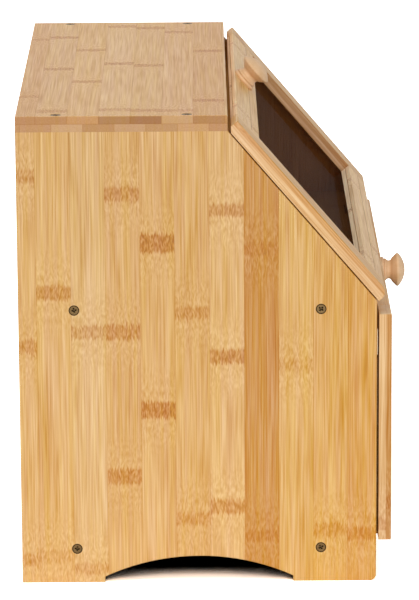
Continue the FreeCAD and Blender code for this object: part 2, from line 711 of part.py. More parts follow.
door = Frame("door", "Sizes.door_slope", SLOPE_FOOT, "Sizes.door_gap", "-Sizes.door_drop", DOOR_HIGH,
             nose="Sizes.door_nose", bevel=(BEVEL_LOW, BEVEL_OUT))
drawer = Frame("drawer", "90", "Sizes.front_base", "Sizes.drawer_gap", "0", "Sizes.front_height")
door_bottom_rail = make_framed_pane(door)
make_framed_pane(drawer)

# ---------------------------------------------------------------- hinges
PIN_Y = on_frame_y(door, "Sizes.pin_along", "Sizes.pin_out")
PIN_Z = on_frame_z(door, "Sizes.pin_along", "Sizes.pin_out")
KNUCKLE = "(Sizes.hinge_length / 3)"
HALF_HINGE = "(Sizes.hinge_length / 2)"
HALF_MIDDLE = f"({KNUCKLE} / 2)"
ROOT = "(Sizes.barrel_radius / 2)"
HINGES = (("left", "-Sizes.hinge_spacing / 2"), ("right", "Sizes.hinge_spacing / 2"))
LEAF_SCREW_X = ["-Sizes.leaf_screw_span / 2", "Sizes.leaf_screw_span / 2"]
LEAF_SCREW = ("Sizes.leaf_screw_shank", "Sizes.leaf_screw_head")


def make_leaf(label, plate_base, outer_root, middle_root, middle_half, knuckles, bore, screws_face_up):
    """Hinge leaf with its pin on the local X axis and its plate running along +Y.

    outer_root and middle_root say how near to the pin the plate comes at the ends and in the middle,
    and knuckles lists the (start, length) of each knuckle along X.
    """
    body = new_body(label)
    plate = new_sketch(body, f"{label}_plate", "XY_Plane", offset=plate_base)
    draw_outline(plate, [
        (f"-{HALF_HINGE}", outer_root),
        (f"-{middle_half}", outer_root),
        (f"-{middle_half}", middle_root),
        (middle_half, middle_root),
        (middle_half, outer_root),
        (HALF_HINGE, outer_root),
        (HALF_HINGE, "Sizes.leaf_width"),
        (f"-{HALF_HINGE}", "Sizes.leaf_width"),
    ])
    pad(body, plate, "Sizes.leaf_thick")
    for start, length in knuckles:
        ring = new_sketch(body, f"{label}_knuckle", "YZ_Plane", offset=start)
        draw_circle(ring, "0", "0", "Sizes.barrel_radius")
        pad(body, ring, length)
    drill(body, "YZ_Plane", f"-{HALF_HINGE}", [("0", "0")], bore, "Sizes.hinge_length", backwards=True)
    face = f"({plate_base} + Sizes.leaf_thick)" if screws_face_up else plate_base
    holes = new_sketch(body, f"{label}_screws", "XY_Plane", offset=face)
    for across in LEAF_SCREW_X:
        draw_circle(holes, across, "Sizes.leaf_screw_in", "Sizes.leaf_screw_shank / 2")
    countersunk_holes(body, holes, "Sizes.leaf_thick", not screws_face_up, *LEAF_SCREW)
    return body



for side, across in HINGES:
    outer = [(f"-{HALF_HINGE}", KNUCKLE), (HALF_MIDDLE, KNUCKLE)]
    case_leaf = make_leaf(f"hinge_case_leaf_{side}", f"({SHELF_TOP} - {PIN_Z} - Sizes.leaf_thick)",
                          ROOT, "Sizes.leaf_recess", HALF_MIDDLE, outer, "Sizes.pin_radius", True)
    place(case_leaf, across=across, along=PIN_Y, up=PIN_Z)
    middle_half = f"({HALF_MIDDLE} - Sizes.knuckle_play)"
    middle = [(f"-{middle_half}", f"(2 * {middle_half})")]
    door_leaf = make_leaf(f"hinge_door_leaf_{side}", "(Sizes.door_gap - Sizes.pin_out)",
                          "Sizes.leaf_recess", ROOT, middle_half, middle,
                          "(Sizes.pin_radius + Sizes.pin_play)", False)
    place(door_leaf, across=across, along=PIN_Y, up=PIN_Z, turn="Sizes.door_slope")
    pin = doc.addObject("Part::Cylinder", f"hinge_pin_{side}")
    pin.Label = f"hinge_pin_{side}"
    bind(pin, "Radius", "Sizes.pin_radius")
    bind(pin, "Height", "Sizes.hinge_length")
    pin.Placement = FreeCAD.Placement(FreeCAD.Vector(), FreeCAD.Rotation(Y_AXIS, 90))
    place(pin, across=f"{across} - {HALF_HINGE}", along=PIN_Y, up=PIN_Z)
    nodes.append(pin)


def mortise(body, origin_x, base, face, foot, pin, backwards):
    """Seats for both leaves in a board: a shallow bed for the plate and a notch for the barrel.

    origin_x is the middle of the case in the board's own X, foot the edge of the board beside the pin
    and pin the place of the pin's axis along the board.
    """
    for _, across in HINGES:
        left = f"({origin_x} + {across} - {HALF_HINGE} - Sizes.pane_play)"
        right = f"({origin_x} + {across} + {HALF_HINGE} + Sizes.pane_play)"
        bed_end = f"({pin} + Sizes.leaf_width + Sizes.pane_play)"
        cut_block(body, "XY_Plane", face, rectangle(left, foot, right, bed_end), "Sizes.leaf_thick", backwards)
        notch_end = f"({pin} + Sizes.notch_depth)"
        cut_block(body, "XY_Plane", face, rectangle(left, foot, right, notch_end), base, backwards)
        screws = [(f"({origin_x} + {across} + {step})", f"({pin} + Sizes.leaf_screw_in)")
                  for step in LEAF_SCREW_X]
        drill(body, "XY_Plane", face, screws, "Sizes.leaf_screw_shank / 2", "Sizes.leaf_screw_length", backwards)


mortise(middle_shelf, "0", "Sizes.notch_depth", "Sizes.board_thick", FRONT_Y, PIN_Y, False)
mortise(door_bottom_rail, WINDOW_HALF, f"(Sizes.notch_depth + Sizes.pin_out - Sizes.door_gap)",
        "Sizes.door_gap", "-Sizes.door_drop", "Sizes.pin_along", True)

LEAF_SCREW_UP = "(Sizes.pin_along + Sizes.leaf_screw_in)"
make_screws("hinge_case_screws", [
    (f"{across} + {step}", f"{PIN_Y} + Sizes.leaf_screw_in", SHELF_TOP, FACING_UP,
     "Sizes.leaf_screw_length", *LEAF_SCREW)
    for _, across in HINGES for step in LEAF_SCREW_X])
make_screws("hinge_door_screws", [
    (f"{across} + {step}", on_frame_y(door, LEAF_SCREW_UP, "Sizes.door_gap"),
     on_frame_z(door, LEAF_SCREW_UP, "Sizes.door_gap"), (X_AXIS, "Sizes.door_slope + 180"),
     "Sizes.leaf_screw_length", *LEAF_SCREW)
    for _, across in HINGES for step in LEAF_SCREW_X])

# ---------------------------------------------------------------- drawer box
BOX_FRONT = f"({FRONT_Y} - Sizes.drawer_gap)"
BOX_BACK = f"({BOX_FRONT} + {BOX_LENGTH})"
BOX_INNER = f"({BOX_HALF} - Sizes.box_thick)"
TRAY_BASE = f"({BOX_BASE} + Sizes.tray_lift)"
BACK_MIDDLE = f"({BOX_BACK} - Sizes.box_thick / 2)"
BOX_SCREW_UP = ["0.25 * Sizes.box_height", "0.75 * Sizes.box_height"]


def make_box_side(label, sign):
    """Drawer side with a groove for the tray and countersunk holes near its back end."""
    low, high = (f"-{BOX_HALF}", f"-{BOX_INNER}") if sign < 0 else (BOX_INNER, BOX_HALF)
    body = make_board(label, low, BOX_FRONT, high, BOX_BACK, BOX_BASE, "Sizes.box_height")
    inner = f"-{BOX_INNER}" if sign < 0 else BOX_INNER
    groove_end = f"({BOX_BACK} - Sizes.box_thick + Sizes.tray_groove)"
    groove = rectangle(BOX_FRONT, "Sizes.tray_lift", groove_end, "(Sizes.tray_lift + Sizes.tray_thick)")
    cut_block(body, "YZ_Plane", inner, groove, "Sizes.tray_groove", backwards=sign > 0)
    outer = f"-{BOX_HALF}" if sign < 0 else BOX_HALF
    holes = new_sketch(body, f"{label}_screws", "YZ_Plane", offset=outer)
    for up in BOX_SCREW_UP:
        draw_circle(holes, BACK_MIDDLE, up, "Sizes.screw_shank / 2")
    countersunk_holes(body, holes, "Sizes.box_thick", backwards=sign < 0)
    return body


make_box_side("drawer_side_left", -1)
make_box_side("drawer_side_right", 1)
drawer_back = make_board("drawer_back", f"-{BOX_INNER}", f"({BOX_BACK} - Sizes.box_thick)", BOX_INNER,
                         BOX_BACK, BOX_BASE, "Sizes.box_height")
tray_slot = rectangle(f"-{BOX_INNER}", "Sizes.tray_lift", BOX_INNER, "(Sizes.tray_lift + Sizes.tray_thick)")
cut_block(drawer_back, "XZ_Plane", f"(Sizes.box_thick - {BOX_BACK})", tray_slot, "Sizes.tray_groove",
          backwards=False)
pilots = [(BACK_MIDDLE, up) for up in BOX_SCREW_UP]
bite = "(Sizes.back_screw_length - Sizes.box_thick)"
drill(drawer_back, "YZ_Plane", BOX_INNER, pilots, "Sizes.screw_shank / 2", bite)
drill(drawer_back, "YZ_Plane", f"-{BOX_INNER}", pilots, "Sizes.screw_shank / 2", bite, backwards=True)

TRAY_HALF = f"({BOX_INNER} + Sizes.tray_groove - Sizes.pane_play)"
make_board("drawer_bottom", f"-{TRAY_HALF}", BOX_FRONT, TRAY_HALF,
           f"({BOX_BACK} - Sizes.box_thick + Sizes.tray_groove - Sizes.pane_play)", TRAY_BASE,
           "Sizes.tray_thick")
make_screws("drawer_screws", [
    (f"{sign}{BOX_HALF}", BACK_MIDDLE, f"{BOX_BASE} + {up}", turn, "Sizes.back_screw_length", *WOOD_SCREW)
    for sign, turn in (("-", FACING_LEFT), ("", FACING_RIGHT))
    for up in BOX_SCREW_UP])

# ---------------------------------------------------------------- check and write
def check_and_write():
    """Stop on any failed feature or bad solid, then write one STEP file for each node."""
    doc.recompute()
    for thing in doc.Objects:
        if "Invalid" in thing.State or "Error" in thing.State:
            raise RuntimeError(f"{thing.Label} failed: {thing.State}")
    os.makedirs("parts", exist_ok=True)
    for node in nodes:
        if node.Shape.isNull() or not node.Shape.isValid():
            raise RuntimeError(f"{node.Label} has no valid shape")
        node.Shape.exportStep(f"parts/{node.Label}.step")
        size = node.Shape.BoundBox
        print(f"{node.Label:26s} solids {len(node.Shape.Solids):2d}  "
              f"{size.XLength:7.2f} x {size.YLength:7.2f} x {size.ZLength:7.2f} mm")


check_and_write()
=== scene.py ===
# %% [markdown]
# # A bread box with a slanted window and a drawer
# This lesson dresses a small bamboo cabinet: a case of screwed boards, a slanted door that folds down on
# two small hinges, and a drawer behind a second framed window. The solid parts come ready made, at their
# real sizes. What is left for Blender is what the eye reads as bamboo, beech, brass and clear sheet, the
# small turned and pressed pieces, and a plain studio to see them in.

import bmesh
import bpy
import json
import numpy as np
from math import cos, radians, sin
from mathutils import Matrix, Vector

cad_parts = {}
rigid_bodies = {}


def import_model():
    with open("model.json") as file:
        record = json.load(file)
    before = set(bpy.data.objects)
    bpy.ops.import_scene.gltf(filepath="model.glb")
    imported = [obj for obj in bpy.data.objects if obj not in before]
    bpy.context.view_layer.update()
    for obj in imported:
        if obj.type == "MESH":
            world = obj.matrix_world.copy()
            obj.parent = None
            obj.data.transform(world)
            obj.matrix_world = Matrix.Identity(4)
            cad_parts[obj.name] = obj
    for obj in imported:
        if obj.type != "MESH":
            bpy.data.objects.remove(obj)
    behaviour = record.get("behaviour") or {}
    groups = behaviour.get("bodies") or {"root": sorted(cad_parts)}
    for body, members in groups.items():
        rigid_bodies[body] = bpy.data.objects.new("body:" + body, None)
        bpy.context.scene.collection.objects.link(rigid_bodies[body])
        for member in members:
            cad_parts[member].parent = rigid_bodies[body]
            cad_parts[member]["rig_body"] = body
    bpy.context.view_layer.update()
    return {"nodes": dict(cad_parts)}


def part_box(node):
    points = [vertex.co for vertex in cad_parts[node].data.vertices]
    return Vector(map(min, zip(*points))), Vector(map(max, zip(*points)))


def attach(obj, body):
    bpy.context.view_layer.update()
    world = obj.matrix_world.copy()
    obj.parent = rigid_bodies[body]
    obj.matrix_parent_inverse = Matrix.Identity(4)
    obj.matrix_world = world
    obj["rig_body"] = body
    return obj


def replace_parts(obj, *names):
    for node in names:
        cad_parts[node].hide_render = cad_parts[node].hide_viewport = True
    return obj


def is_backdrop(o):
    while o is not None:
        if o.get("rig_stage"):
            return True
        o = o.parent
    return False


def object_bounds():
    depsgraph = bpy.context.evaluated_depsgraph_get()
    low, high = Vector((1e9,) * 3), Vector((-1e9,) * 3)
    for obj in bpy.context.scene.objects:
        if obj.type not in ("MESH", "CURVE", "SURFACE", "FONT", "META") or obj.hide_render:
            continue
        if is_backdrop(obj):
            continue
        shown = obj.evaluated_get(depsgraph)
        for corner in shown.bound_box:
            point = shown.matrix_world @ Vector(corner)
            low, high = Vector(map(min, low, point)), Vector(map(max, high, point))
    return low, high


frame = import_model()

# %% [markdown]
# ## Directions
# Every board is cut along one direction of its grain, and a material has to know it. The case and the
# drawer use the plain axes. The door leans, so its two directions are worked out from the slope of the
# cut in the sides: one runs up the door, the other points out of it.

# %% Directions of the grain
MM = 1000.0  # millimetres in a metre
X, Y, Z = (1.0, 0.0, 0.0), (0.0, 1.0, 0.0), (0.0, 0.0, 1.0)
LEFT, FRONT = (-1.0, 0.0, 0.0), (0.0, -1.0, 0.0)
SLOPE = radians(49.5)
UP_DOOR = (0.0, cos(SLOPE), sin(SLOPE))
OUT_DOOR = (0.0, -sin(SLOPE), cos(SLOPE))
SLOPE_FOOT = Vector((0.0, -0.11065, 0.20382))
DOOR_BACK, DOOR_FRONT = 0.0008, 0.0098  # how far the door's two faces lie above the cut, in metres
side_low, side_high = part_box("side_left")
print("side board:", [round(v * MM, 1) for v in side_high - side_low], "mm")

# %% [markdown]
# ## Small tools for materials
# Colours are written the way a paint programme shows them, as sRGB hex, and one function turns them into
# the linear light that a shader works in. A second function adds a node, sets it and links it in one
# line, so that a material reads like a recipe. The woods share three patterns: a ramp with hard steps,
# the place of a point in millimetres, and noise drawn out along the grain.

# %% Colour and node tools
def linear(code):
    """Linear light from sRGB hex: v / 12.92 up to 0.04045, and ((v + 0.055) / 1.055) ** 2.4 above it."""
    v = np.array([int(code[i:i + 2], 16) for i in (1, 3, 5)]) / 255
    return (*np.where(v <= 0.04045, v / 12.92, ((v + 0.055) / 1.055) ** 2.4), 1.0)


def add(tree, kind, inputs=None, out=0, **settings):
    """Adds a node and returns one output; an input is a value, or another node's output to link."""
    node = tree.nodes.new(kind)
    for name, value in settings.items():
        setattr(node, name, value)
    for key, value in (inputs or {}).items():
        if isinstance(value, bpy.types.NodeSocket):
            tree.links.new(value, node.inputs[key])
        else:
            node.inputs[key].default_value = value
    return node.outputs[out]


def steps(socket, colours):
    """Gives the colour ramp behind a socket evenly spaced hard steps, one for each colour."""
    ramp = socket.node.color_ramp
    ramp.interpolation = "CONSTANT"
    while len(ramp.elements) < len(colours):
        ramp.elements.new(1.0)
    for number, colour in enumerate(colours):
        ramp.elements[number].position = number / len(colours)
        ramp.elements[number].color = colour
    return socket


def new_material(name):
    """A material with its node tree and its Principled BSDF."""
    material = bpy.data.materials.new(name)
    material.use_nodes = True
    return material, material.node_tree, material.node_tree.nodes["Principled BSDF"]


def millimetres(tree):
    """Place of a point of the object, in millimetres."""
    spot = add(tree, "ShaderNodeTexCoord", out="Object")
    return add(tree, "ShaderNodeVectorMath", {0: spot, "Scale": MM}, operation="SCALE")


def millimetres_along(tree, *ways):
    """How far a point of the object lies along each of several directions, in millimetres."""
    spot = millimetres(tree)
    return [add(tree, "ShaderNodeVectorMath", {0: spot, 1: way}, out="Value", operation="DOT_PRODUCT")
            for way in ways]


def drawn_noise(tree, point, squeeze, scale, spread, detail=1.0):
    """Noise at (across, along times squeeze, third); spread is two of its values and what they become."""
    across, along, third = point
    run = add(tree, "ShaderNodeMath", {0: along, 1: squeeze}, operation="MULTIPLY")
    point = add(tree, "ShaderNodeCombineXYZ", {0: across, 1: run, 2: third})
    noise = add(tree, "ShaderNodeTexNoise", {"Vector": point, "Scale": scale, "Detail": detail},
                noise_dimensions="3D")
    return add(tree, "ShaderNodeMapRange", dict(enumerate((noise, *spread))))


print("white is", [round(v, 2) for v in linear("#FFFFFF")])

# %% [markdown]
# ## Bamboo board
# Bamboo is a hollow grass. Its wall is sawn into strips a couple of centimetres wide, planed square and
# glued edge to edge, and the board is sanded and given a thin satin lacquer. So a board isn't one
# pattern: each strip has its own tone, its own straight fibres, and every 20 to 30 cm a node, the knuckle
# of the stalk, which shows as a ragged brown band with short dark dashes and restless grain round it.
#
# An image would repeat and stretch. Here everything is worked out from the place of the point in the
# board, in millimetres: how far along the grain, how far across, how deep. The strip's number feeds a
# random tone, thin stretched noise makes the fibres, and the distance to the nearest node bends them.
# One signal, the grain, gathers all of it and drives hue, saturation and value together, because
# a darker fibre in bamboo is also a redder, stronger colour and not a greyer one.

# %% Bamboo: place in the board
STRIP_SHIFT, SEED_SHIFT = 7.31, 3.7  # how far the noise moves from strip to strip and from seed to seed
# the width of the strips in the boards and frames, in millimetres
SIDE_STRIP, TOP_STRIP, SHELF_STRIP, DRAWER_STRIP, FRAME_STRIP = 24.1, 21.75, 22.0, 21.0, 19.0


def board_place(tree, along, across, through, pitch, first, ply_at, seed):
    """Millimetres along (a), across (c) and through (w) a board, with the numbers of the strip and the ply.

    joint is the distance to the nearest glue line, chance three random numbers for each strip and ply,
    and own a shift for each strip, so that no two strips share their noise."""
    a, c, w = millimetres_along(tree, along, across, through)
    count = add(tree, "ShaderNodeMath", {0: c, 1: first}, operation="SUBTRACT")
    count = add(tree, "ShaderNodeMath", {0: count, 1: pitch}, operation="DIVIDE")
    ply = 0.0
    if ply_at is not None:
        ply = add(tree, "ShaderNodeMath", {0: w, 1: ply_at}, operation="LESS_THAN")
        count = add(tree, "ShaderNodeMath", {0: ply, 1: 0.5, 2: count}, operation="MULTIPLY_ADD")
    strip = add(tree, "ShaderNodeMath", {0: count}, operation="FLOOR")
    joint = add(tree, "ShaderNodeMath", {0: count, 1: 0.5}, operation="PINGPONG")
    joint = add(tree, "ShaderNodeMath", {0: joint, 1: pitch}, operation="MULTIPLY")
    if ply_at is not None:
        depth = add(tree, "ShaderNodeMath", {0: w, 1: ply_at}, operation="SUBTRACT")
        depth = add(tree, "ShaderNodeMath", {0: depth}, operation="ABSOLUTE")
        joint = add(tree, "ShaderNodeMath", {0: joint, 1: depth}, operation="MINIMUM")
    key = add(tree, "ShaderNodeCombineXYZ", {0: strip, 1: ply, 2: seed + 0.5})
    chance = add(tree, "ShaderNodeTexWhiteNoise", {"Vector": key}, out="Color", noise_dimensions="3D")
    own = add(tree, "ShaderNodeMath", {0: strip, 1: STRIP_SHIFT, 2: seed * SEED_SHIFT},
              operation="MULTIPLY_ADD")
    return dict(a=a, c=c, w=w, strip=strip, ply=ply, joint=joint, chance=chance, own=own)


def strip_pick(tree, at, lowest, count):
    """Place of a strip in a ramp that has one step for each of count strips, from the lowest number on."""
    pick = add(tree, "ShaderNodeMath", {0: at["strip"], 1: 0.5 - lowest}, operation="ADD")
    return add(tree, "ShaderNodeMath", {0: pick, 1: float(count)}, operation="DIVIDE")


print("strips across a side:", round((side_high - side_low).y * MM / SIDE_STRIP, 1))

# %% [markdown]
# The nodes of the stalk come next. Where a board is looked at closely, its nodes are listed strip by
# strip, and a colour ramp with hard steps is used as a small table: its red holds the height, its green
# half the band's height and its blue how strong it is. Elsewhere each strip starts its nodes at a random
# height, at a stalk's usual spacing.

# %% Bamboo: distance to the nearest node
# all in millimetres
NODE_SPACING = 240.0  # between two knuckles of the stalk
NODE_HALF = 5.0  # half the height of a band that isn't listed
NODE_SOFT = 1.2  # half the width of a band's soft edge
TABLE_LOW, TABLE_RANGE, TABLE_HALF = -200.0, 600.0, 20.0  # what 0 and 1 in the table stand for


def band_cover(tree, half, gap, strong):
    """How strongly a band covers a point: strong inside its half height, 0 outside, with a soft edge."""
    inside = add(tree, "ShaderNodeMath", {0: half, 1: gap}, operation="SUBTRACT")
    inside = add(tree, "ShaderNodeMapRange", {0: inside, 1: -NODE_SOFT, 2: NODE_SOFT},
                 interpolation_type="SMOOTHSTEP")
    return add(tree, "ShaderNodeMath", {0: inside, 1: strong}, operation="MULTIPLY")


def listed_nodes(tree, at, ragged, rows, lowest):
    """Distance to the nearest listed node, and how strongly its band covers the point."""
    near, band = NODE_SPACING, 0.0  # so far away, a node changes nothing
    pick = strip_pick(tree, at, lowest, len(rows[0]))
    for row in rows:
        cells = [((h - TABLE_LOW) / TABLE_RANGE, half / TABLE_HALF, strong, 1.0) for h, half, strong in row]
        table = steps(add(tree, "ShaderNodeValToRGB", {0: pick}), cells)
        table = add(tree, "ShaderNodeSeparateXYZ", {0: table}).node.outputs
        height = add(tree, "ShaderNodeMath", {0: table[0], 1: TABLE_RANGE, 2: TABLE_LOW},
                     operation="MULTIPLY_ADD")
        gap = add(tree, "ShaderNodeMath", {0: ragged, 1: height}, operation="SUBTRACT")
        gap = add(tree, "ShaderNodeMath", {0: gap}, operation="ABSOLUTE")
        half = add(tree, "ShaderNodeMath", {0: table[1], 1: TABLE_HALF}, operation="MULTIPLY")
        cover = band_cover(tree, half, gap, table[2])
        near = add(tree, "ShaderNodeMath", {0: near, 1: gap}, operation="MINIMUM")
        band = add(tree, "ShaderNodeMath", {0: band, 1: cover}, operation="MAXIMUM")
    return near, band


def random_nodes(tree, at, ragged):
    """The same two numbers with nodes at every multiple of the spacing, from a random height on."""
    chances = add(tree, "ShaderNodeSeparateXYZ", {0: at["chance"]}).node.outputs
    moved = add(tree, "ShaderNodeMath", {0: chances[1], 1: NODE_SPACING, 2: ragged},
                operation="MULTIPLY_ADD")
    gap = add(tree, "ShaderNodeMath", {0: moved, 1: NODE_SPACING / 2}, operation="PINGPONG")
    strong = add(tree, "ShaderNodeMath", {0: chances[2], 1: 0.7, 2: 0.3}, operation="MULTIPLY_ADD")
    return gap, band_cover(tree, NODE_HALF, gap, strong)


print("unlisted nodes: one every", NODE_SPACING, "mm")

# %% [markdown]
# Noise stretched along the grain gives fibres: about a millimetre across and several centimetres long.
# They are drawn slightly coarser than the real bundles, which are half as wide, so that they still show
# at arm's length. Close to a node the fibres wander sideways and break up into short dashes. On the sawn
# ends, where only the cut tips of the fibres show, the grain is calmer, and every joint has a thin dark
# line of glue.

# %% Bamboo: the grain
GRAIN_LAYERS = [  # squeeze along the grain, scale in one over millimetres, strength
    (0.020, 1.05, 1.092),  # fine lines
    (0.014, 0.42, 0.224),  # bundles of fibres
    (0.050, 0.12, 0.336),  # slow streaks of tone
]
RAGGED = 5.5  # millimetres by which the edge of a band is pushed up and down
SWAY = 2.2  # millimetres by which the fibres wander sideways at a node
CALM_FROM, RESTLESS_FROM = 42.0, 5.0  # distances from a node, in millimetres, between which this fades
DASH_SHARE = 0.72  # how much of the grain turns into dashes at a node
BAND_DEPTH, BAND_DASH = -1.95, 0.38  # grain inside a band, and how much the dashes vary it
END_GRAIN = 0.35  # how much of the grain is left on a sawn end
GLUE_FROM, GLUE_TO = 0.15, 0.55  # millimetres from a joint between which its line fades out


def faces(tree, way):
    """How squarely a surface faces a direction or its opposite, from 0 to 1."""
    normal = add(tree, "ShaderNodeTexCoord", out="Normal")
    cosine = add(tree, "ShaderNodeVectorMath", {0: normal, 1: way}, out="Value", operation="DOT_PRODUCT")
    return add(tree, "ShaderNodeMath", {0: cosine}, operation="ABSOLUTE")


def grain_signal(tree, at, along, rows, lowest, glue_line):
    """The grain, 0 on average and darker below it, with the cover of the node bands."""
    a, c, own = at["a"], at["c"], at["own"]
    push = drawn_noise(tree, (c, a, own), 0.08, 0.95, (0.0, 1.0, -RAGGED, RAGGED), detail=2.0)
    ragged = add(tree, "ShaderNodeMath", {0: push, 1: a}, operation="ADD")
    gap, band = listed_nodes(tree, at, ragged, rows, lowest) if rows else random_nodes(tree, at, ragged)
    near = add(tree, "ShaderNodeMapRange", {0: gap, 1: CALM_FROM, 2: RESTLESS_FROM},
               interpolation_type="SMOOTHSTEP")

    # fibres that bend near a node, and browner streaks some centimetres long
    sway = drawn_noise(tree, (c, a, own), 0.35, 0.22, (0.0, 1.0, -SWAY, SWAY))
    bent = add(tree, "ShaderNodeMath", {0: sway, 1: near, 2: c}, operation="MULTIPLY_ADD")
    deep = add(tree, "ShaderNodeMath", {0: at["w"], 1: own}, operation="ADD")
    grain = drawn_noise(tree, (bent, a, own), 0.11, 0.17, (0.57, 0.72, 0.0, -0.75))
    for squeeze, scale, strong in GRAIN_LAYERS:
        layer = drawn_noise(tree, (bent, a, deep), squeeze, scale, (0.28, 0.72, -strong, strong))
        grain = add(tree, "ShaderNodeMath", {0: grain, 1: layer}, operation="ADD")

    # short dashes round the nodes, and darker ones inside the bands
    dash = drawn_noise(tree, (bent, a, deep), 0.24, 0.95, (0.30, 0.70, -1.3, 1.3))
    restless = add(tree, "ShaderNodeMath", {0: near, 1: DASH_SHARE}, operation="MULTIPLY")
    grain = add(tree, "ShaderNodeMix", {0: restless, 2: grain, 3: dash})
    dark = add(tree, "ShaderNodeMath", {0: dash, 1: BAND_DASH, 2: BAND_DEPTH}, operation="MULTIPLY_ADD")
    grain = add(tree, "ShaderNodeMath", {0: dark, 1: band, 2: grain}, operation="MULTIPLY_ADD")

    # calmer on sawn ends, and a dark line at every joint
    calm = add(tree, "ShaderNodeMapRange", {0: faces(tree, along), 1: 0.6, 2: 0.8, 3: 1.0, 4: END_GRAIN})
    glue = add(tree, "ShaderNodeMapRange", {0: at["joint"], 1: GLUE_FROM, 2: GLUE_TO, 3: glue_line, 4: 0.0})
    return add(tree, "ShaderNodeMath", {0: grain, 1: calm, 2: glue}, operation="MULTIPLY_ADD"), band


print("layers of grain:", len(GRAIN_LAYERS))

# %% [markdown]
# The tone of a strip is listed, or picked at random from a few. The edges and ends of a board show the
# bamboo cut open: they have tones of their own, one for each ply. On the door and the drawer some of these
# tones are made paler as painted light, and the far upright's edges darker as painted shade.

# %% Bamboo: tones of the strips
SAWN = 0.7  # cosine of the widest angle between the normal of a sawn side and its direction


def board_tones(tree, at, along, across, tones, listed, lowest, end_tones, edge_tones):
    """Colour of the strips before the grain, and 1 on the sawn sides that have tones of their own."""
    if listed:
        pick = strip_pick(tree, at, lowest, len(tones))
    else:
        pick = add(tree, "ShaderNodeSeparateXYZ", {0: at["chance"]})
    colour = steps(add(tree, "ShaderNodeValToRGB", {0: pick}), [linear(tone) for tone in tones])
    sides = []
    if edge_tones:
        sides.append((across, [linear(tone) for tone in edge_tones]))
    if end_tones:
        pick = strip_pick(tree, at, lowest, len(end_tones[0]))
        sides.append((along, [steps(add(tree, "ShaderNodeValToRGB", {0: pick}),
                                    [linear(tone) for tone in ply]) for ply in end_tones]))
    sawn = 0.0
    for way, (under, over) in sides:
        plies = add(tree, "ShaderNodeMix", {0: at["ply"], 6: over, 7: under}, out=2, data_type="RGBA")
        cut = add(tree, "ShaderNodeMath", {0: faces(tree, way), 1: SAWN}, operation="GREATER_THAN")
        colour = add(tree, "ShaderNodeMix", {0: cut, 6: colour, 7: plies}, out=2, data_type="RGBA")
        sawn = add(tree, "ShaderNodeMath", {0: sawn, 1: cut}, operation="MAXIMUM")
    return colour, sawn


print("a side counts as sawn within", round(np.degrees(np.arccos(SAWN))), "degrees of its direction")

# %% Bamboo: the finished material
GRAIN_HUE, GRAIN_STRENGTH, GRAIN_VALUE = 0.005, -0.090, 0.125  # what one unit of grain adds to the colour
BAND_HUE, BLUSH_HUE = -0.007, 0.10
BOARD_TOP = 330.0  # height of the upper end of an upright board, in millimetres


def bamboo(name, along, across, through, pitch, first, tones, rows=None, lowest=0, ply_at=None,
           end_tones=None, edge_tones=None, seed=0, bare=False, gloss=0.5, glue_line=-0.7, level=None):
    """Satin lacquered bamboo: strips of a pitch in millimetres with fibres, nodes and glue lines.

    bare leaves the sawn sides without lacquer, gloss is the strength of its sheen, glue_line how dark
    the joints are, and level the brightness at the foot and at the head of an upright board, which is
    painted light standing in for the light that the floor throws up."""
    material, tree, surface = new_material(name)
    at = board_place(tree, along, across, through, pitch, first, ply_at, seed)
    grain, band = grain_signal(tree, at, along, rows, lowest, glue_line)
    colour, sawn = board_tones(tree, at, along, across, tones, rows, lowest, end_tones, edge_tones)

    # a darker fibre is redder and stronger, and a slow blush runs over groups of fibres
    blush = drawn_noise(tree, (at["c"], at["a"], at["own"]), 0.03, 0.33, (0.3, 0.7, -0.04, 0.04))
    hue = add(tree, "ShaderNodeMath", {0: grain, 1: GRAIN_HUE, 2: 0.5}, operation="MULTIPLY_ADD")
    hue = add(tree, "ShaderNodeMath", {0: band, 1: BAND_HUE, 2: hue}, operation="MULTIPLY_ADD")
    hue = add(tree, "ShaderNodeMath", {0: blush, 1: BLUSH_HUE, 2: hue}, operation="MULTIPLY_ADD")
    strength = add(tree, "ShaderNodeMath", {0: grain, 1: GRAIN_STRENGTH, 2: 1.0}, operation="MULTIPLY_ADD")
    strength = add(tree, "ShaderNodeMath", {0: strength, 1: blush}, operation="ADD")
    # painted light: level makes an upright board brighter toward its foot, for the light from the floor
    tone = 1.0
    if level:
        tone = add(tree, "ShaderNodeMapRange", {0: at["a"], 1: 0.0, 2: BOARD_TOP, 3: level[0], 4: level[1]})
    value = add(tree, "ShaderNodeMath", {0: grain, 1: GRAIN_VALUE, 2: tone}, operation="MULTIPLY_ADD")
    colour = add(tree, "ShaderNodeHueSaturation", {"Hue": hue, "Saturation": strength, "Value": value,
                                                   "Color": colour})
    tree.links.new(colour, surface.inputs["Base Color"])
    relief = add(tree, "ShaderNodeBump", {"Strength": 0.12, "Distance": 0.0003, "Height": grain})
    tree.links.new(relief, surface.inputs["Normal"])
    surface.inputs["Roughness"].default_value = 0.42
    surface.inputs["IOR"].default_value = 1.5
    surface.inputs["Specular IOR Level"].default_value = gloss
    if bare:
        sheen = add(tree, "ShaderNodeMapRange", {0: sawn, 3: gloss, 4: 0.0})
        tree.links.new(sheen, surface.inputs["Specular IOR Level"])
    return material


print("upright boards end", BOARD_TOP, "mm above the floor")

# %% [markdown]
# Now each board gets its own bamboo, cut its own way. A listed node is its place along the grain, half the
# width of its band and its strength. Frames and the top have two layers: their edges are listed for the
# layer below the joint and for the one above it, and their ends for every strip of each.

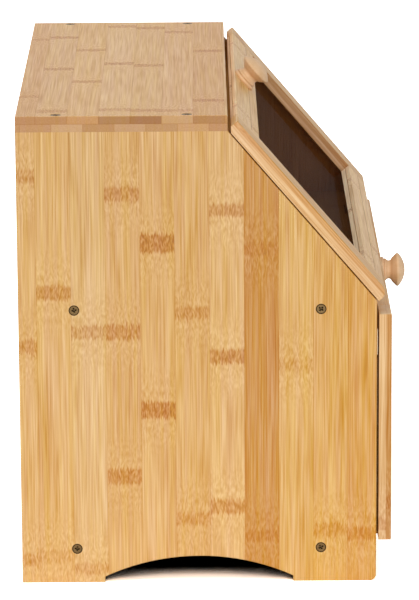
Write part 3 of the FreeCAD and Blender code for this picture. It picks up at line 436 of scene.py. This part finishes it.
# %% Bamboo: the sides
NO_NODE = (-150.0, 1.0, 0.0)  # below the board, so that it shows nothing
SIDE_TONES = ["#D49D4E", "#D7A458", "#D9A95F", "#C68A3A", "#DDB070", "#D6A560", "#D8A864", "#D7A765",
              "#DCB173", "#DAAB68", "#DBAC6A"]
SIDE_ROWS = [
    [(35, 5, .5), (37.5, 4.5, .5), (158, 4, .3), (241, 4, .35), (269, 4.5, .75), (196, 4.5, .5),
     (246, 6.5, 1), (281, 5, .65), (183, 4.5, .6), (211, 5, .7), (294, 5, .5)],
    [NO_NODE, (290, 4, .2), NO_NODE, (34, 4, .3), (164.5, 5, .95), (47, 4.5, .5),
     (126, 6, 1), (183, 5, .7), (10, 4, .5), (20, 4, .3), (172, 5, .65)],
    [NO_NODE, NO_NODE, NO_NODE, NO_NODE, (55, 5, .8), NO_NODE,
     NO_NODE, (78, 5.5, .75), NO_NODE, NO_NODE, (17, 5, .5)],
]
PALE = ["#E1B06E", "#DDAA60", "#E4B77A", "#D5A052", "#DFAD67"]
# the left side is painted 13 % brighter at its foot and 5 % darker at its head: painted light from the floor
side_left = bamboo("bamboo board, left side", Z, Y, X, SIDE_STRIP, 6.0, SIDE_TONES, SIDE_ROWS, -5,
                   level=(1.13, 0.95))
side_right = bamboo("bamboo board, right side", Z, Y, X, SIDE_STRIP, 2.0, PALE, seed=3)
print("nodes listed on the left side:", sum(node != NO_NODE for row in SIDE_ROWS for node in row))

# %% Bamboo: the top and the shelf
NO_TOP_NODE = (-199, 0, 0)  # beyond the end of the board
TOP_ROWS = [
    [NO_TOP_NODE, (60, 4.6, .8), (140, 4.6, .8), (158, 5.0, .8), (165, 5.0, .8), (66, 4.6, .8),
     (119, 5.0, .9), (110, 4.2, .5)],
    [NO_TOP_NODE, (-130, 4.6, .8), (-165, 4.6, .6), (3, 5.0, .8), (11, 5.0, .9), (-58, 4.6, .8),
     (-9, 5.0, .8), (-112, 4.2, .5)],
    [NO_TOP_NODE, NO_TOP_NODE, NO_TOP_NODE, (-164, 5.0, .7), (-161, 5.0, .7), NO_TOP_NODE,
     (-165, 5.0, .7), NO_TOP_NODE],
]
TOP_TONES = ["#DFAD67", "#DDA45B", "#E3AD68", "#E3AF66", "#E8B672", "#E7B36A", "#E4B16E", "#DEA661"]
TOP_ENDS = [
    ["#BF8C4C", "#BC8853", "#C7965E", "#BC8C55", "#C39564", "#BA884F", "#C99C6B", "#BF8D5B"],
    ["#B9854C", "#AF7B41", "#C69862", "#A26C35", "#AC7A41", "#C48F54", "#B8834B", "#B8834F"],
]
TOP_PLY = 330.5  # height of the joint between the two layers of the top, in millimetres
top_board = bamboo("bamboo board, top", X, Y, Z, TOP_STRIP, -5.2, TOP_TONES, TOP_ROWS, -1, ply_at=TOP_PLY,
                   end_tones=TOP_ENDS)
shelf_board = bamboo("bamboo board, shelf", X, Y, Z, SHELF_STRIP, 4.0, PALE, seed=5)
print("nodes listed on the top:", sum(node != NO_TOP_NODE for row in TOP_ROWS for node in row))

# %% Bamboo: the frames and the drawer
# where the joint between the two layers lies, in millimetres along the way that the frame faces
DOOR_PLY = (SLOPE_FOOT.dot(Vector(OUT_DOOR)) + DOOR_BACK) * MM + 5.4
DRAWER_PLY = 117.4
DOOR_EDGE = ["#E2B479", "#D9A564"]
DRAWER_EDGE = ["#E2B479", "#CF9956"]
# edges of the cross pieces, almost white: painted light for edges in shade, in the door's recess and under
# the door
CROSS_EDGE_PAINTED_LIGHT = ["#FFE3BE", "#FFDDB2"]
# darker edges of the far door upright: painted shade where the near upright shades its inner edge; the outer
# edge gets the same tone
FAR_EDGE_PAINTED_SHADE = ["#C89C70", "#BA8A5A"]
CROSS = ["#E6B878", "#E4B470", "#E9BE84", "#DFAE64", "#E5B774"]
FAR = ["#D3A05D", "#CB964F", "#D8A968", "#C68E45", "#CF9B57"]  # darker tones, for the far upright
# sawn ends of the uprights, one list for each ply: their own colour, made lighter as painted light for ends
# that get little light
ENDS_WITH_PAINTED_LIGHT = [["#F0CA92", "#EBC184"], ["#EBC184", "#E7BA7A"]]
door_upright = bamboo("bamboo frame, door upright", UP_DOOR, X, OUT_DOOR, FRAME_STRIP, -184.0, PALE,
                      ply_at=DOOR_PLY, end_tones=ENDS_WITH_PAINTED_LIGHT, edge_tones=DOOR_EDGE, seed=7)
door_far = bamboo("bamboo frame, right door upright", UP_DOOR, X, OUT_DOOR, FRAME_STRIP, -184.0, FAR,
                  ply_at=DOOR_PLY, end_tones=ENDS_WITH_PAINTED_LIGHT, edge_tones=FAR_EDGE_PAINTED_SHADE, seed=7, gloss=0.3)
door_cross = bamboo("bamboo frame, door cross piece", X, UP_DOOR, OUT_DOOR, FRAME_STRIP, 0.0, CROSS,
                    ply_at=DOOR_PLY, edge_tones=CROSS_EDGE_PAINTED_LIGHT, seed=8, bare=True, glue_line=-3.4)
drawer_upright = bamboo("bamboo frame, drawer upright", Z, X, FRONT, FRAME_STRIP, -184.0, PALE,
                        ply_at=DRAWER_PLY, end_tones=ENDS_WITH_PAINTED_LIGHT, edge_tones=DRAWER_EDGE, seed=9)
drawer_cross = bamboo("bamboo frame, drawer cross piece", X, Z, FRONT, FRAME_STRIP, 0.0, PALE,
                      ply_at=DRAWER_PLY, edge_tones=CROSS_EDGE_PAINTED_LIGHT, seed=10, bare=True)
box_side = bamboo("bamboo board, drawer side", Y, Z, X, DRAWER_STRIP, 5.0, PALE, seed=11)
box_back = bamboo("bamboo board, drawer back", X, Z, Y, DRAWER_STRIP, 5.0, PALE, seed=12)
print("bamboo materials:", len([m for m in bpy.data.materials if m.name.startswith("bamboo")]))

# %% [markdown]
# ## Boards with eased edges
# A sanded board never ends in a knife edge: its corners are broken by half a millimetre, and that thin
# strip catches light. The solid parts have sharp corners, so each board is copied, its loose triangles
# are joined, its flat faces are dissolved into one face each, and a Bevel modifier eases the edges.

# %% Boards: copy, join and ease
def eased(node, material, width=0.5, rounded=False):
    """Copy of a solid board with joined faces and edges rounded by a width in millimetres.

    rounded is for pieces whose solids already have curved edges, which are then shaded smoothly."""
    source = frame["nodes"][node]
    mesh = source.data.copy()
    work = bmesh.new()
    work.from_mesh(mesh)
    bmesh.ops.remove_doubles(work, verts=work.verts, dist=2e-6)
    bmesh.ops.dissolve_limit(work, angle_limit=radians(0.5), verts=work.verts, edges=work.edges)
    work.to_mesh(mesh)
    work.free()
    mesh.name = f"{node}_eased"
    board = bpy.data.objects.new(f"{node}_board", mesh)
    bpy.context.scene.collection.objects.link(board)
    mesh.materials.clear()
    mesh.materials.append(material)
    mesh.polygons.foreach_set("use_smooth", np.full(len(mesh.polygons), rounded))
    if rounded:
        mesh.set_sharp_from_angle(angle=radians(30))
    bevel = board.modifiers.new("eased edges", "BEVEL")
    bevel.width = width / MM
    bevel.segments = 2
    bevel.limit_method = "ANGLE"
    bevel.angle_limit = radians(50)
    if rounded:
        board.modifiers.new("even shading", "WEIGHTED_NORMAL").keep_sharp = True
    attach(board, source["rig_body"])
    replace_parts(board, node)


BOARDS = {
    "side_left": side_left, "side_right": side_right, "top_panel": top_board,
    "middle_shelf": shelf_board, "bottom_panel": shelf_board,
    "drawer_guide_left": box_side, "drawer_guide_right": box_side,
    "drawer_side_left": box_side, "drawer_side_right": box_side, "drawer_back": box_back,
}
FRAMES = {
    "door_stile_left": door_upright, "door_stile_right": door_far,
    "door_top_rail": door_cross, "door_bottom_rail": door_cross,
    "drawer_stile_left": drawer_upright, "drawer_stile_right": drawer_upright,
    "drawer_top_rail": drawer_cross, "drawer_bottom_rail": drawer_cross,
}
for node, material in BOARDS.items():
    eased(node, material)
for node, material in FRAMES.items():
    eased(node, material, width=0.3, rounded=True)
print("eased boards:", len(BOARDS) + len(FRAMES))

# %% [markdown]
# ## Plywood back and drawer bottom
# The back and the drawer's bottom are thin sheets peeled from a turning log, so their grain is broad and
# wandering instead of straight. The sheets are pale and barely sanded.

# %% Plywood
def plywood(name, along, across, tone):
    """Rotary cut plywood: rings some millimetres wide wander where a slow noise is folded by a sine.

    Fine pores, about a millimetre wide, run along the grain."""
    material, tree, surface = new_material(name)
    a, c = millimetres_along(tree, along, across)
    rings = drawn_noise(tree, (c, a, 0.0), 0.12, 0.022, (0.0, 1.0, 0.0, 60.0), detail=2.0)
    rings = add(tree, "ShaderNodeMath", {0: rings}, operation="SINE")
    pores = drawn_noise(tree, (c, a, 0.0), 0.06, 1.2, (0.35, 0.65, -1.0, 1.0), detail=2.0)
    grain = add(tree, "ShaderNodeMath", {0: rings, 1: 0.35, 2: pores}, operation="MULTIPLY_ADD")
    value = add(tree, "ShaderNodeMath", {0: grain, 1: 0.06, 2: 1.0}, operation="MULTIPLY_ADD")
    strength = add(tree, "ShaderNodeMath", {0: grain, 1: -0.06, 2: 1.0}, operation="MULTIPLY_ADD")
    colour = add(tree, "ShaderNodeHueSaturation", {"Hue": 0.5, "Saturation": strength, "Value": value,
                                                   "Color": linear(tone)})
    tree.links.new(colour, surface.inputs["Base Color"])
    surface.inputs["Roughness"].default_value = 0.6
    return material


PLYWOOD_TONE = "#DDBB8A"
back_sheet = plywood("plywood, back panel", Z, X, PLYWOOD_TONE)
tray_sheet = plywood("plywood, drawer bottom", X, Y, PLYWOOD_TONE)
eased("back_panel", back_sheet, width=0.3)
eased("drawer_bottom", tray_sheet, width=0.3)
print("plywood sheets:", back_sheet.name, "and", tray_sheet.name)

# %% [markdown]
# ## Surfaces from a grid
# The knobs and the screw heads are new pieces. Each is a surface with two parameters, one round the axis
# and one from the middle outwards, worked out as a whole array of points. One function turns such
# an array into a mesh: it closes the seam by letting the last column meet the first, and closes both
# ends with a single point each.

# %% A mesh from rings of points
def skin(name, rings, material, body):
    """Mesh from rings[row, column, xyz]: quads between the rings, joined round, and a point at each end."""
    rows, columns = rings.shape[:2]
    points = np.concatenate([rings[:1, 0], rings[1:-1].reshape(-1, 3), rings[-1:, 0]])
    index = 1 + np.arange((rows - 2) * columns).reshape(rows - 2, columns)
    after = np.roll(index, -1, axis=1)
    quads = np.stack([index[:-1], index[1:], after[1:], after[:-1]], axis=-1).reshape(-1, 4)
    last = len(points) - 1
    start = np.stack([np.zeros(columns, int), index[0], after[0]], axis=-1)
    end = np.stack([np.full(columns, last), after[-1], index[-1]], axis=-1)
    mesh = bpy.data.meshes.new(name)
    mesh.from_pydata(points.tolist(), [], quads.tolist() + start.tolist() + end.tolist())
    mesh.polygons.foreach_set("use_smooth", np.ones(len(mesh.polygons), bool))
    mesh.set_sharp_from_angle(angle=radians(40))
    mesh.materials.append(material)
    piece = bpy.data.objects.new(name, mesh)
    bpy.context.scene.collection.objects.link(piece)
    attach(piece, body)
    return piece


def stand(points, base, out, up):
    """Points in metres from points in millimetres, with their third number along out from base."""
    out, up = Vector(out).normalized(), Vector(up).normalized()
    side = up.cross(out)
    axes = np.array([side, up, out])
    return (points / MM) @ axes + np.array(base)


print("10 mm up from the floor:", stand(np.array([0, 0, 10]), (0, 0, 0), Z, Y))

# %% [markdown]
# ## Turned beech knobs
# A knob is turned on a lathe: two beads at the foot, a waist, a cone, a rounded rim and a low dome. That
# is one profile carried round an axis. Turned beech is pale and slightly pink, with short darker flecks
# along the grain, and is left nearly bare, so it is smooth but dull.

# %% Beech
BEECH_TONE = "#E3BA8D"


def beech(name, axis):
    """Turned beech, almost without gloss: flecks a millimetre wide and five long, over slow streaks."""
    material, tree, surface = new_material(name)
    upright = Vector(Z).rotation_difference(Vector(axis)).inverted().to_euler()
    spot = add(tree, "ShaderNodeMapping", {"Vector": millimetres(tree), "Rotation": upright})
    squeezed = add(tree, "ShaderNodeMapping", {"Vector": spot, "Scale": (1.0, 1.0, 0.14)})
    flecks = add(tree, "ShaderNodeTexNoise", {"Vector": squeezed, "Scale": 1.3, "Detail": 2.0})
    flecks = add(tree, "ShaderNodeMapRange", {0: flecks, 1: 0.35, 2: 0.65, 3: -1.0, 4: 1.0})
    rings = add(tree, "ShaderNodeTexNoise", {"Vector": squeezed, "Scale": 0.16, "Detail": 1.0})
    rings = add(tree, "ShaderNodeMapRange", {0: rings, 1: 0.3, 2: 0.7, 3: -1.0, 4: 1.0})
    grain = add(tree, "ShaderNodeMath", {0: flecks, 1: 0.5, 2: rings}, operation="MULTIPLY_ADD")
    value = add(tree, "ShaderNodeMath", {0: grain, 1: 0.045, 2: 1.0}, operation="MULTIPLY_ADD")
    strength = add(tree, "ShaderNodeMath", {0: grain, 1: -0.05, 2: 1.0}, operation="MULTIPLY_ADD")
    colour = add(tree, "ShaderNodeHueSaturation", {"Hue": 0.5, "Saturation": strength, "Value": value,
                                                   "Color": linear(BEECH_TONE)})
    tree.links.new(colour, surface.inputs["Base Color"])
    surface.inputs["Roughness"].default_value = 0.5
    return material


print("beech in linear light:", [round(v, 2) for v in linear(BEECH_TONE)])

# %% Knobs
def arc(start, end, radius, count, outward=True):
    """Points on a circle of a radius through start and end, bulging away from the axis or towards it."""
    start, end = np.array(start, float), np.array(end, float)
    chord = end - start
    half = np.hypot(*chord) / 2
    side = np.array([chord[1], -chord[0]]) / (2 * half) * (1 if outward else -1)
    centre = (start + end) / 2 - side * np.sqrt(max(radius ** 2 - half ** 2, 0.0))
    first = np.arctan2(*(start - centre)[::-1])
    turn = (np.arctan2(*(end - centre)[::-1]) - first + np.pi) % (2 * np.pi) - np.pi
    angles = first + turn * np.linspace(0, 1, count)
    return centre + radius * np.stack([np.cos(angles), np.sin(angles)], axis=-1)


def knob_profile():
    """Radius and height along a knob, from its foot to the middle of its dome, in millimetres."""
    return np.concatenate([
        [(0, 0)],
        arc((8.92, 0.0), (8.92, 2.4), 1.68, 10),
        arc((7.82, 2.4), (7.82, 4.4), 1.2, 9),
        arc((7.82, 4.4), (8.5, 8.2), 2.1, 12, outward=False),
        [(10.0, 9.63)],
        arc((11.75, 11.3), (12.0, 13.6), 1.5, 9),
        arc((12.0, 13.6), (0.0, 18.2), 17.95, 14)[1:],
    ])


def lathe(profile, columns=96):
    """Rings of points: each profile point (radius, height) carried once round the axis."""
    angle = np.linspace(0, 2 * np.pi, columns, endpoint=False)
    radius, height = profile[:, :1], profile[:, 1:]
    return np.stack([radius * np.cos(angle), radius * np.sin(angle),
                     np.broadcast_to(height, (len(profile), columns))], axis=-1)


knob_shape = lathe(knob_profile())
KNOB_AXIS = SLOPE_FOOT + 0.15095 * Vector(UP_DOOR)  # where the door knob's axis meets the cut
DOOR_KNOB = KNOB_AXIS + DOOR_FRONT * Vector(OUT_DOOR)
DRAWER_KNOB = Vector((0.0, -0.12115, 0.1819))
for base, out, body in ((DOOR_KNOB, OUT_DOOR, "door"), (DRAWER_KNOB, FRONT, "drawer")):
    knob = skin(f"{body}_knob_turned", stand(knob_shape, base, out, X), beech(f"beech, {body} knob", out),
                body)
    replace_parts(knob, f"{body}_knob")
print("knobs: 2, with", len(knob.data.polygons), "faces each")

# %% [markdown]
# ## Screws
# The boards are held by countersunk screws with a cross recess, browned to a dull bronze. Their heads
# are the only dark marks on the pale boards, so they are made in full: a disc whose surface sinks into
# a cross, and a cone below it. A number on every point darkens the head: in the cross it is browning
# left in the recess and painted shade, round the rim it is painted shade for the gap of the countersink,
# and in the very middle it is left out, a painted highlight. The browning wears thin on the rest of the top.

# %% Bronze and brass
def metal(name, tone, dull, roughness, scale, depth):
    """Metal with an uneven finish: noise a millimetre or two wide moves its roughness and relief.

    The tone turns dull where the noise is high, and on the screw heads where browning and painted shade
    lie; the brass has none."""
    material, tree, surface = new_material(name)
    spot = add(tree, "ShaderNodeTexCoord", out="Object")
    uneven = add(tree, "ShaderNodeTexNoise", {"Vector": spot, "Scale": scale, "Detail": 3.0})
    rough = add(tree, "ShaderNodeMapRange", {0: uneven, 1: 0.3, 2: 0.7, 3: roughness - 0.08,
                                             4: roughness + 0.08})
    tree.links.new(rough, surface.inputs["Roughness"])
    relief = add(tree, "ShaderNodeBump", {"Strength": 0.2, "Distance": depth, "Height": uneven})
    tree.links.new(relief, surface.inputs["Normal"])
    # the heads' browning and painted shade, read from each point
    browning_and_shade = add(tree, "ShaderNodeAttribute", out="Fac", attribute_name="browning_and_shade")
    spread = add(tree, "ShaderNodeMapRange", {0: uneven, 1: 0.35, 2: 0.75, 3: 0.0, 4: 0.25})
    browning_and_shade = add(tree, "ShaderNodeMath", {0: browning_and_shade, 1: spread}, operation="MAXIMUM")
    colour = add(tree, "ShaderNodeMix", {0: browning_and_shade, 6: linear(tone), 7: linear(dull)}, out=2,
                 data_type="RGBA")
    tree.links.new(colour, surface.inputs["Base Color"])
    surface.inputs["Metallic"].default_value = 1.0
    return material


# 2A1D10 is the tone of the heads' rim and cross: painted shade, and browning in the cross
bronze = metal("steel, browned screws", "#77603F", "#2A1D10", 0.42, 900.0, 0.00004)
brass = metal("brass, rolled hinges", "#D9B56C", "#A88444", 0.28, 600.0, 0.00002)
print("metals:", bronze.name, "and", brass.name)

# %% Screw heads
HEAD = 3.8  # radius of a head in millimetres
LARGE_HEAD = 3.9  # the same on the sides and the top
CROSS_DEPTH = 0.34  # share of the radius


def screw_head(radius, turn, rows=26, columns=72):
    """Rings of a head: its top sinks inside a cross with soft walls, and a cone narrows below the rim."""
    angle = np.linspace(0, 2 * np.pi, columns, endpoint=False)
    reach = np.concatenate([np.linspace(0, 0.97, rows), [1.0, 0.98, 0.55, 0.0]])[:, None] * radius
    x, y = reach * np.cos(angle + turn), reach * np.sin(angle + turn)
    arm, length, soft = 0.11 * radius, 0.50 * radius, 0.07 * radius
    one = np.clip((arm - abs(y)) / soft + 0.5, 0, 1) * np.clip((length - abs(x)) / (4 * soft), 0, 1)
    two = np.clip((arm - abs(x)) / soft + 0.5, 0, 1) * np.clip((length - abs(y)) / (4 * soft), 0, 1)
    height = -CROSS_DEPTH * radius * np.maximum(one, two)
    height[-4:] = np.array([-0.05, -0.1, -0.55, -0.56])[:, None] * radius
    return np.stack([reach * np.cos(angle), reach * np.sin(angle), height], axis=-1)


def browning_and_shade_on(shape, radius):
    """Darkening of each point of a head: up to 0.75 in the cross, browning and painted shade; 1 at the rim,
    painted shade for the gap of the countersink; 0 elsewhere, and 0 in the middle, a painted highlight.
    """
    reach = np.hypot(shape[..., 0], shape[..., 1]) / radius
    # the cross holds browning and painted shade, the rim painted shade for the countersink's gap, and the
    # light middle is a painted highlight
    cross = np.clip(-3.2 * shape[..., 2] / radius, 0, 0.75)
    rim = np.clip((reach - 0.72) / 0.12, 0, 1)
    browning_and_shade = np.maximum(cross, rim) * np.clip(reach / 0.22, 0, 1)
    return np.concatenate([browning_and_shade[0, :1], browning_and_shade[1:-1].ravel(), browning_and_shade[-1, :1]])


def heads(name, spots, out, up, radius, body, sunk=0.3):
    """Heads at several spots in millimetres, each turned in its own way and sunk a little into the wood."""
    made = []
    for number, spot in enumerate(spots):
        shape = screw_head(radius, 0.7 + 1.9 * number)
        browning_and_shade = browning_and_shade_on(shape, radius)
        shape[..., 2] -= sunk
        points = stand(shape, Vector(spot) / MM, out, up)
        piece = skin(f"{name}_{number + 1}", points, bronze, body)
        # each point's browning and painted shade, for the bronze
        piece.data.attributes.new("browning_and_shade", "FLOAT", "POINT").data.foreach_set("value", browning_and_shade)
        made.append(piece)
    return made


print("cross recess:", round(CROSS_DEPTH * HEAD, 1), "mm deep")

# %% Screws in the case
# all in millimetres
HALF_WIDTH, TOP_HEIGHT = 184, 336
FRONT_ROW, BACK_ROW = -71.65, 100.35
SHELF_MIDDLE, BOTTOM_MIDDLE = 198.4, 24.9
side_spots = [(x, y, z) for x in (-HALF_WIDTH, HALF_WIDTH) for y in (FRONT_ROW, BACK_ROW)
              for z in (SHELF_MIDDLE, BOTTOM_MIDDLE)]
left = heads("screw_left", side_spots[:4], LEFT, Z, LARGE_HEAD, "case", 0.08)
heads("screw_right", side_spots[4:], X, Z, LARGE_HEAD, "case", 0.08)
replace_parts(left[0], "side_screws")
top_spots = [(x, y, TOP_HEIGHT) for x in (-178, 178) for y in (20.85, 111.35)]
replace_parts(heads("screw_top", top_spots, Z, Y, LARGE_HEAD, "case", 0.2)[0], "top_screws")


def inner_box(node):
    """A node's box in millimetres, drawn in by the radius of a head on every side."""
    low, high = (Vector(end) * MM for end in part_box(node))
    rim = Vector((HEAD, HEAD, HEAD))
    return low + rim, high - rim


low, high = inner_box("back_screws")
back_spots = [(x, high.y + HEAD, z) for x in (low.x, 0, high.x) for z in (low.z, high.z)]
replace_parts(heads("screw_back", back_spots, Y, Z, HEAD, "case")[0], "back_screws")
print("screw heads in the case:", len(side_spots) + len(top_spots) + len(back_spots))

# %% Screws in the drawer and the door
low, high = inner_box("drawer_screws")
y = (low.y + high.y) / 2
box_left = heads("screw_box_left", [(low.x - HEAD, y, z) for z in (low.z, high.z)], LEFT, Z, HEAD, "drawer")
heads("screw_box_right", [(high.x + HEAD, y, z) for z in (low.z, high.z)], X, Z, HEAD, "drawer")
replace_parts(box_left[0], "drawer_screws")
low, high = inner_box("drawer_knob_screw")
knob_screw = heads("screw_drawer_knob", [(0, high.y + HEAD, (low.z + high.z) / 2)], Y, Z, HEAD, "drawer")
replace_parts(knob_screw[0], "drawer_knob_screw")
spot = (KNOB_AXIS + DOOR_BACK * Vector(OUT_DOOR)) * MM
knob_screw = heads("screw_door_knob", [spot], -Vector(OUT_DOOR), X, HEAD, "door")
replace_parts(knob_screw[0], "door_knob_screw")
for node in sorted(frame["nodes"]):
    if node.startswith("hinge"):
        frame["nodes"][node].data.materials.clear()
        frame["nodes"][node].data.materials.append(brass)

# %% [markdown]
# ## Clear panes
# The windows are thin clear acrylic sheet, faintly smoky, held in a rebate. A flat sheet this thin shifts
# nothing that the eye could notice, so its faces let light straight through with a tint, under a weak
# gloss. At a glancing angle more light is turned away, which a Fresnel node turns into a deeper tint.
# The light crosses the sheet on its way in and again on its way out, which is why the inside of a
# closed box looks so dark.

# %% Clear acrylic
ACRYLIC_IOR = 1.49
GLOSS_SHARE = 0.020  # share of the light that meets the gloss; the rest goes through
FACING, GLANCING = 0.04, 0.4  # what Fresnel gives where the tint is palest, and where it is deepest


def clear_sheet(name, tint, edge):
    """Extruded acrylic: see-through, tinted more at a glancing angle, under a weak gloss."""
    material, tree, surface = new_material(name)
    tree.nodes.remove(surface)
    spot = add(tree, "ShaderNodeTexCoord", out="Object")
    waves = add(tree, "ShaderNodeTexNoise", {"Vector": spot, "Scale": 14.0, "Detail": 1.0})
    relief = add(tree, "ShaderNodeBump", {"Strength": 0.02, "Distance": 0.001, "Height": waves})
    glance = add(tree, "ShaderNodeFresnel", {"IOR": ACRYLIC_IOR})
    glance = add(tree, "ShaderNodeMapRange", {0: glance, 1: FACING, 2: GLANCING})
    clear = add(tree, "ShaderNodeMix", {0: glance, 6: linear(tint), 7: linear(edge)}, out=2,
                data_type="RGBA")
    through = add(tree, "ShaderNodeBsdfTransparent", {"Color": clear})
    gloss = add(tree, "ShaderNodeBsdfGlossy", {"Color": linear("#FFFFFF"), "Roughness": 0.05,
                                               "Normal": relief})
    both = add(tree, "ShaderNodeMixShader", {0: GLOSS_SHARE, 1: through, 2: gloss})
    tree.links.new(both, tree.nodes["Material Output"].inputs["Surface"])
    return material


acrylic = clear_sheet("acrylic, clear sheet", "#F0EEEA", "#C2B6A6")
for node in ("door_pane", "drawer_pane"):
    frame["nodes"][node].data.materials.clear()
    frame["nodes"][node].data.materials.append(acrylic)
print("panes:", acrylic.users)

# %% [markdown]
# ## Studio
# A plain pale floor, a white surround and two large soft lamps: a key far out to the left and a little
# to the front, and one above and behind that lights the top. Through Light Path the floor and the
# surround are brighter for the camera than for the light on the object, so the background is white
# without flattening the wood. Under the box hardly any light gets in, and a brightened floor would hide
# that. So the paper is darkened there by two factors: how open the place is, from Ambient Occlusion,
# and how far it lies inside the case's outline.

# %% Floor and world
CASE_OUTLINE = ((0, 0.0, 0.184), (1, 0.009, 0.130))  # axis, middle and half size in metres
FADE_FROM, FADE_TO = 0.023, 0.036  # metres inside the outline between which the light falls to nothing
CORNER = 0.05  # metres over which the fade is rounded at the corners
OPEN_WITHIN = 0.15  # metres that Ambient Occlusion looks for something overhead
BLACK_AT, WHITE_AT = 0.075, 0.175  # its openness at which the paper is black, and at which it is white
SURROUND = 0.44  # strength of the surround for the light on the object


def seen(tree):
    """One for rays from the camera, from gloss and through glass, and zero for the light on the object."""
    ray = add(tree, "ShaderNodeLightPath").node.outputs
    either = add(tree, "ShaderNodeMath", {0: ray["Is Camera Ray"], 1: ray["Is Glossy Ray"]},
                 operation="MAXIMUM")
    return add(tree, "ShaderNodeMath", {0: either, 1: ray["Is Transmission Ray"]}, operation="MAXIMUM")


def under_case(tree):
    """Light left under the case: 1 near its outline and outside it, falling to 0 further in."""
    place = add(tree, "ShaderNodeTexCoord", out="Object")
    place = add(tree, "ShaderNodeSeparateXYZ", {0: place}).node.outputs
    depths = []
    for axis, middle, half in CASE_OUTLINE:
        off = add(tree, "ShaderNodeMath", {0: place[axis], 1: middle}, operation="SUBTRACT")
        off = add(tree, "ShaderNodeMath", {0: off}, operation="ABSOLUTE")
        depths.append(add(tree, "ShaderNodeMath", {0: half, 1: off}, operation="SUBTRACT"))
    depth = add(tree, "ShaderNodeMath", {0: depths[0], 1: depths[1], 2: CORNER}, operation="SMOOTH_MIN")
    return add(tree, "ShaderNodeMapRange", {0: depth, 1: FADE_TO, 2: FADE_FROM},
               interpolation_type="SMOOTHSTEP")


def studio_paper(plain, shown, eye):
    """Matt white paper: plain for the object's light, shown in gloss and glass, brighter for the eye."""
    paper, tree, surface = new_material("paper, studio floor")
    tree.nodes.remove(surface)
    shade = add(tree, "ShaderNodeMapRange", {0: seen(tree), 3: plain, 4: shown})
    camera_ray = add(tree, "ShaderNodeLightPath", out="Is Camera Ray")
    shade = add(tree, "ShaderNodeMath", {0: camera_ray, 1: eye, 2: shade}, operation="MULTIPLY_ADD")
    open_sky = add(tree, "ShaderNodeAmbientOcclusion", {"Distance": OPEN_WITHIN}, out="AO", samples=32)
    open_sky = add(tree, "ShaderNodeMapRange", {0: open_sky, 1: BLACK_AT, 2: WHITE_AT})
    shade = add(tree, "ShaderNodeMath", {0: shade, 1: open_sky}, operation="MULTIPLY")
    shade = add(tree, "ShaderNodeMath", {0: shade, 1: under_case(tree)}, operation="MULTIPLY")
    matt = add(tree, "ShaderNodeBsdfDiffuse", {"Color": shade})
    tree.links.new(matt, tree.nodes["Material Output"].inputs["Surface"])
    return paper


FAR_OUT = 12.0  # metres from the middle of the floor to each of its sides
corners = [(x * FAR_OUT, y * FAR_OUT, 0) for x, y in ((-1, -1), (1, -1), (1, 1), (-1, 1))]
floor_mesh = bpy.data.meshes.new("floor")
floor_mesh.from_pydata(corners, [], [(0, 1, 2, 3)])
floor_mesh.materials.append(studio_paper(plain=0.95, shown=1.4, eye=2.2))
floor = bpy.data.objects.new("studio_floor", floor_mesh)
bpy.context.scene.collection.objects.link(floor)
floor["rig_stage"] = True

world = bpy.data.worlds.new("studio surround")
bpy.context.scene.world = world
world.use_nodes = True
tree = world.node_tree
level = add(tree, "ShaderNodeMapRange", {0: seen(tree), 3: SURROUND, 4: 1.0})
tree.links.new(level, tree.nodes["Background"].inputs["Strength"])
tree.nodes["Background"].inputs["Color"].default_value = (1, 1, 1, 1)
print("floor:", 2 * FAR_OUT, "m across, under a white surround")

# %% Lamps
def softbox(name, spot, target, width, power):
    """Square area lamp at a spot, facing a target."""
    lamp = bpy.data.lights.new(name, "AREA")
    lamp.size = width
    lamp.energy = power
    holder = bpy.data.objects.new(name, lamp)
    bpy.context.scene.collection.objects.link(holder)
    holder.location = spot
    holder.rotation_euler = (Vector(target) - Vector(spot)).to_track_quat("-Z", "Y").to_euler()
    holder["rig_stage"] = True


softbox("soft_key", (-6.8, -1.6, 0.9), (0, 0, 0.15), 3.2, 231.0)
softbox("soft_top", (-2.0, 2.4, 5.6), (0, 0, 0.2), 3.0, 98.0)
print("soft lamps:", len(bpy.data.lights))

# %% [markdown]
# ## Camera
# The camera stands to the left of the box, well back, and looks slightly down, so that the side fills
# the view and the top and the edge of the door are seen at a glancing angle. A long lens keeps
# the upright boards nearly parallel.

# %% Camera
def look(yaw, pitch, roll):
    """Rotation (columns right, up, back) by angles in degrees of a camera that first looks along +X."""
    turn = Matrix.Rotation(radians(yaw), 3, "Z")
    ahead = turn @ Vector((cos(radians(pitch)), 0, -sin(radians(pitch))))
    right = turn @ Vector((0, -1, 0))
    up = turn @ Vector((sin(radians(pitch)), 0, cos(radians(pitch))))
    c, s = cos(radians(roll)), sin(radians(roll))
    right, up = c * right + s * up, c * up - s * right
    return Matrix((right, up, -ahead)).transposed()


lens = bpy.data.cameras.new("side_view")
lens.sensor_fit = "HORIZONTAL"
lens.sensor_width = 36.0
lens.lens = 346.1  # millimetres
lens.clip_end = 60.0  # metres
camera = bpy.data.objects.new("side_view", lens)
bpy.context.scene.collection.objects.link(camera)
place = Matrix.Translation((-2.9010, 0.01335, 0.8842))
camera.matrix_world = place @ look(yaw=-0.155, pitch=14.028, roll=-0.340).to_4x4()
bpy.context.scene.camera = camera
bpy.context.scene.view_settings.view_transform = "Standard"
print("camera at", [round(v, 3) for v in camera.location])

# %% Finish
low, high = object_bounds()
print("size:", [round((b - a) * MM, 2) for a, b in zip(low, high)])
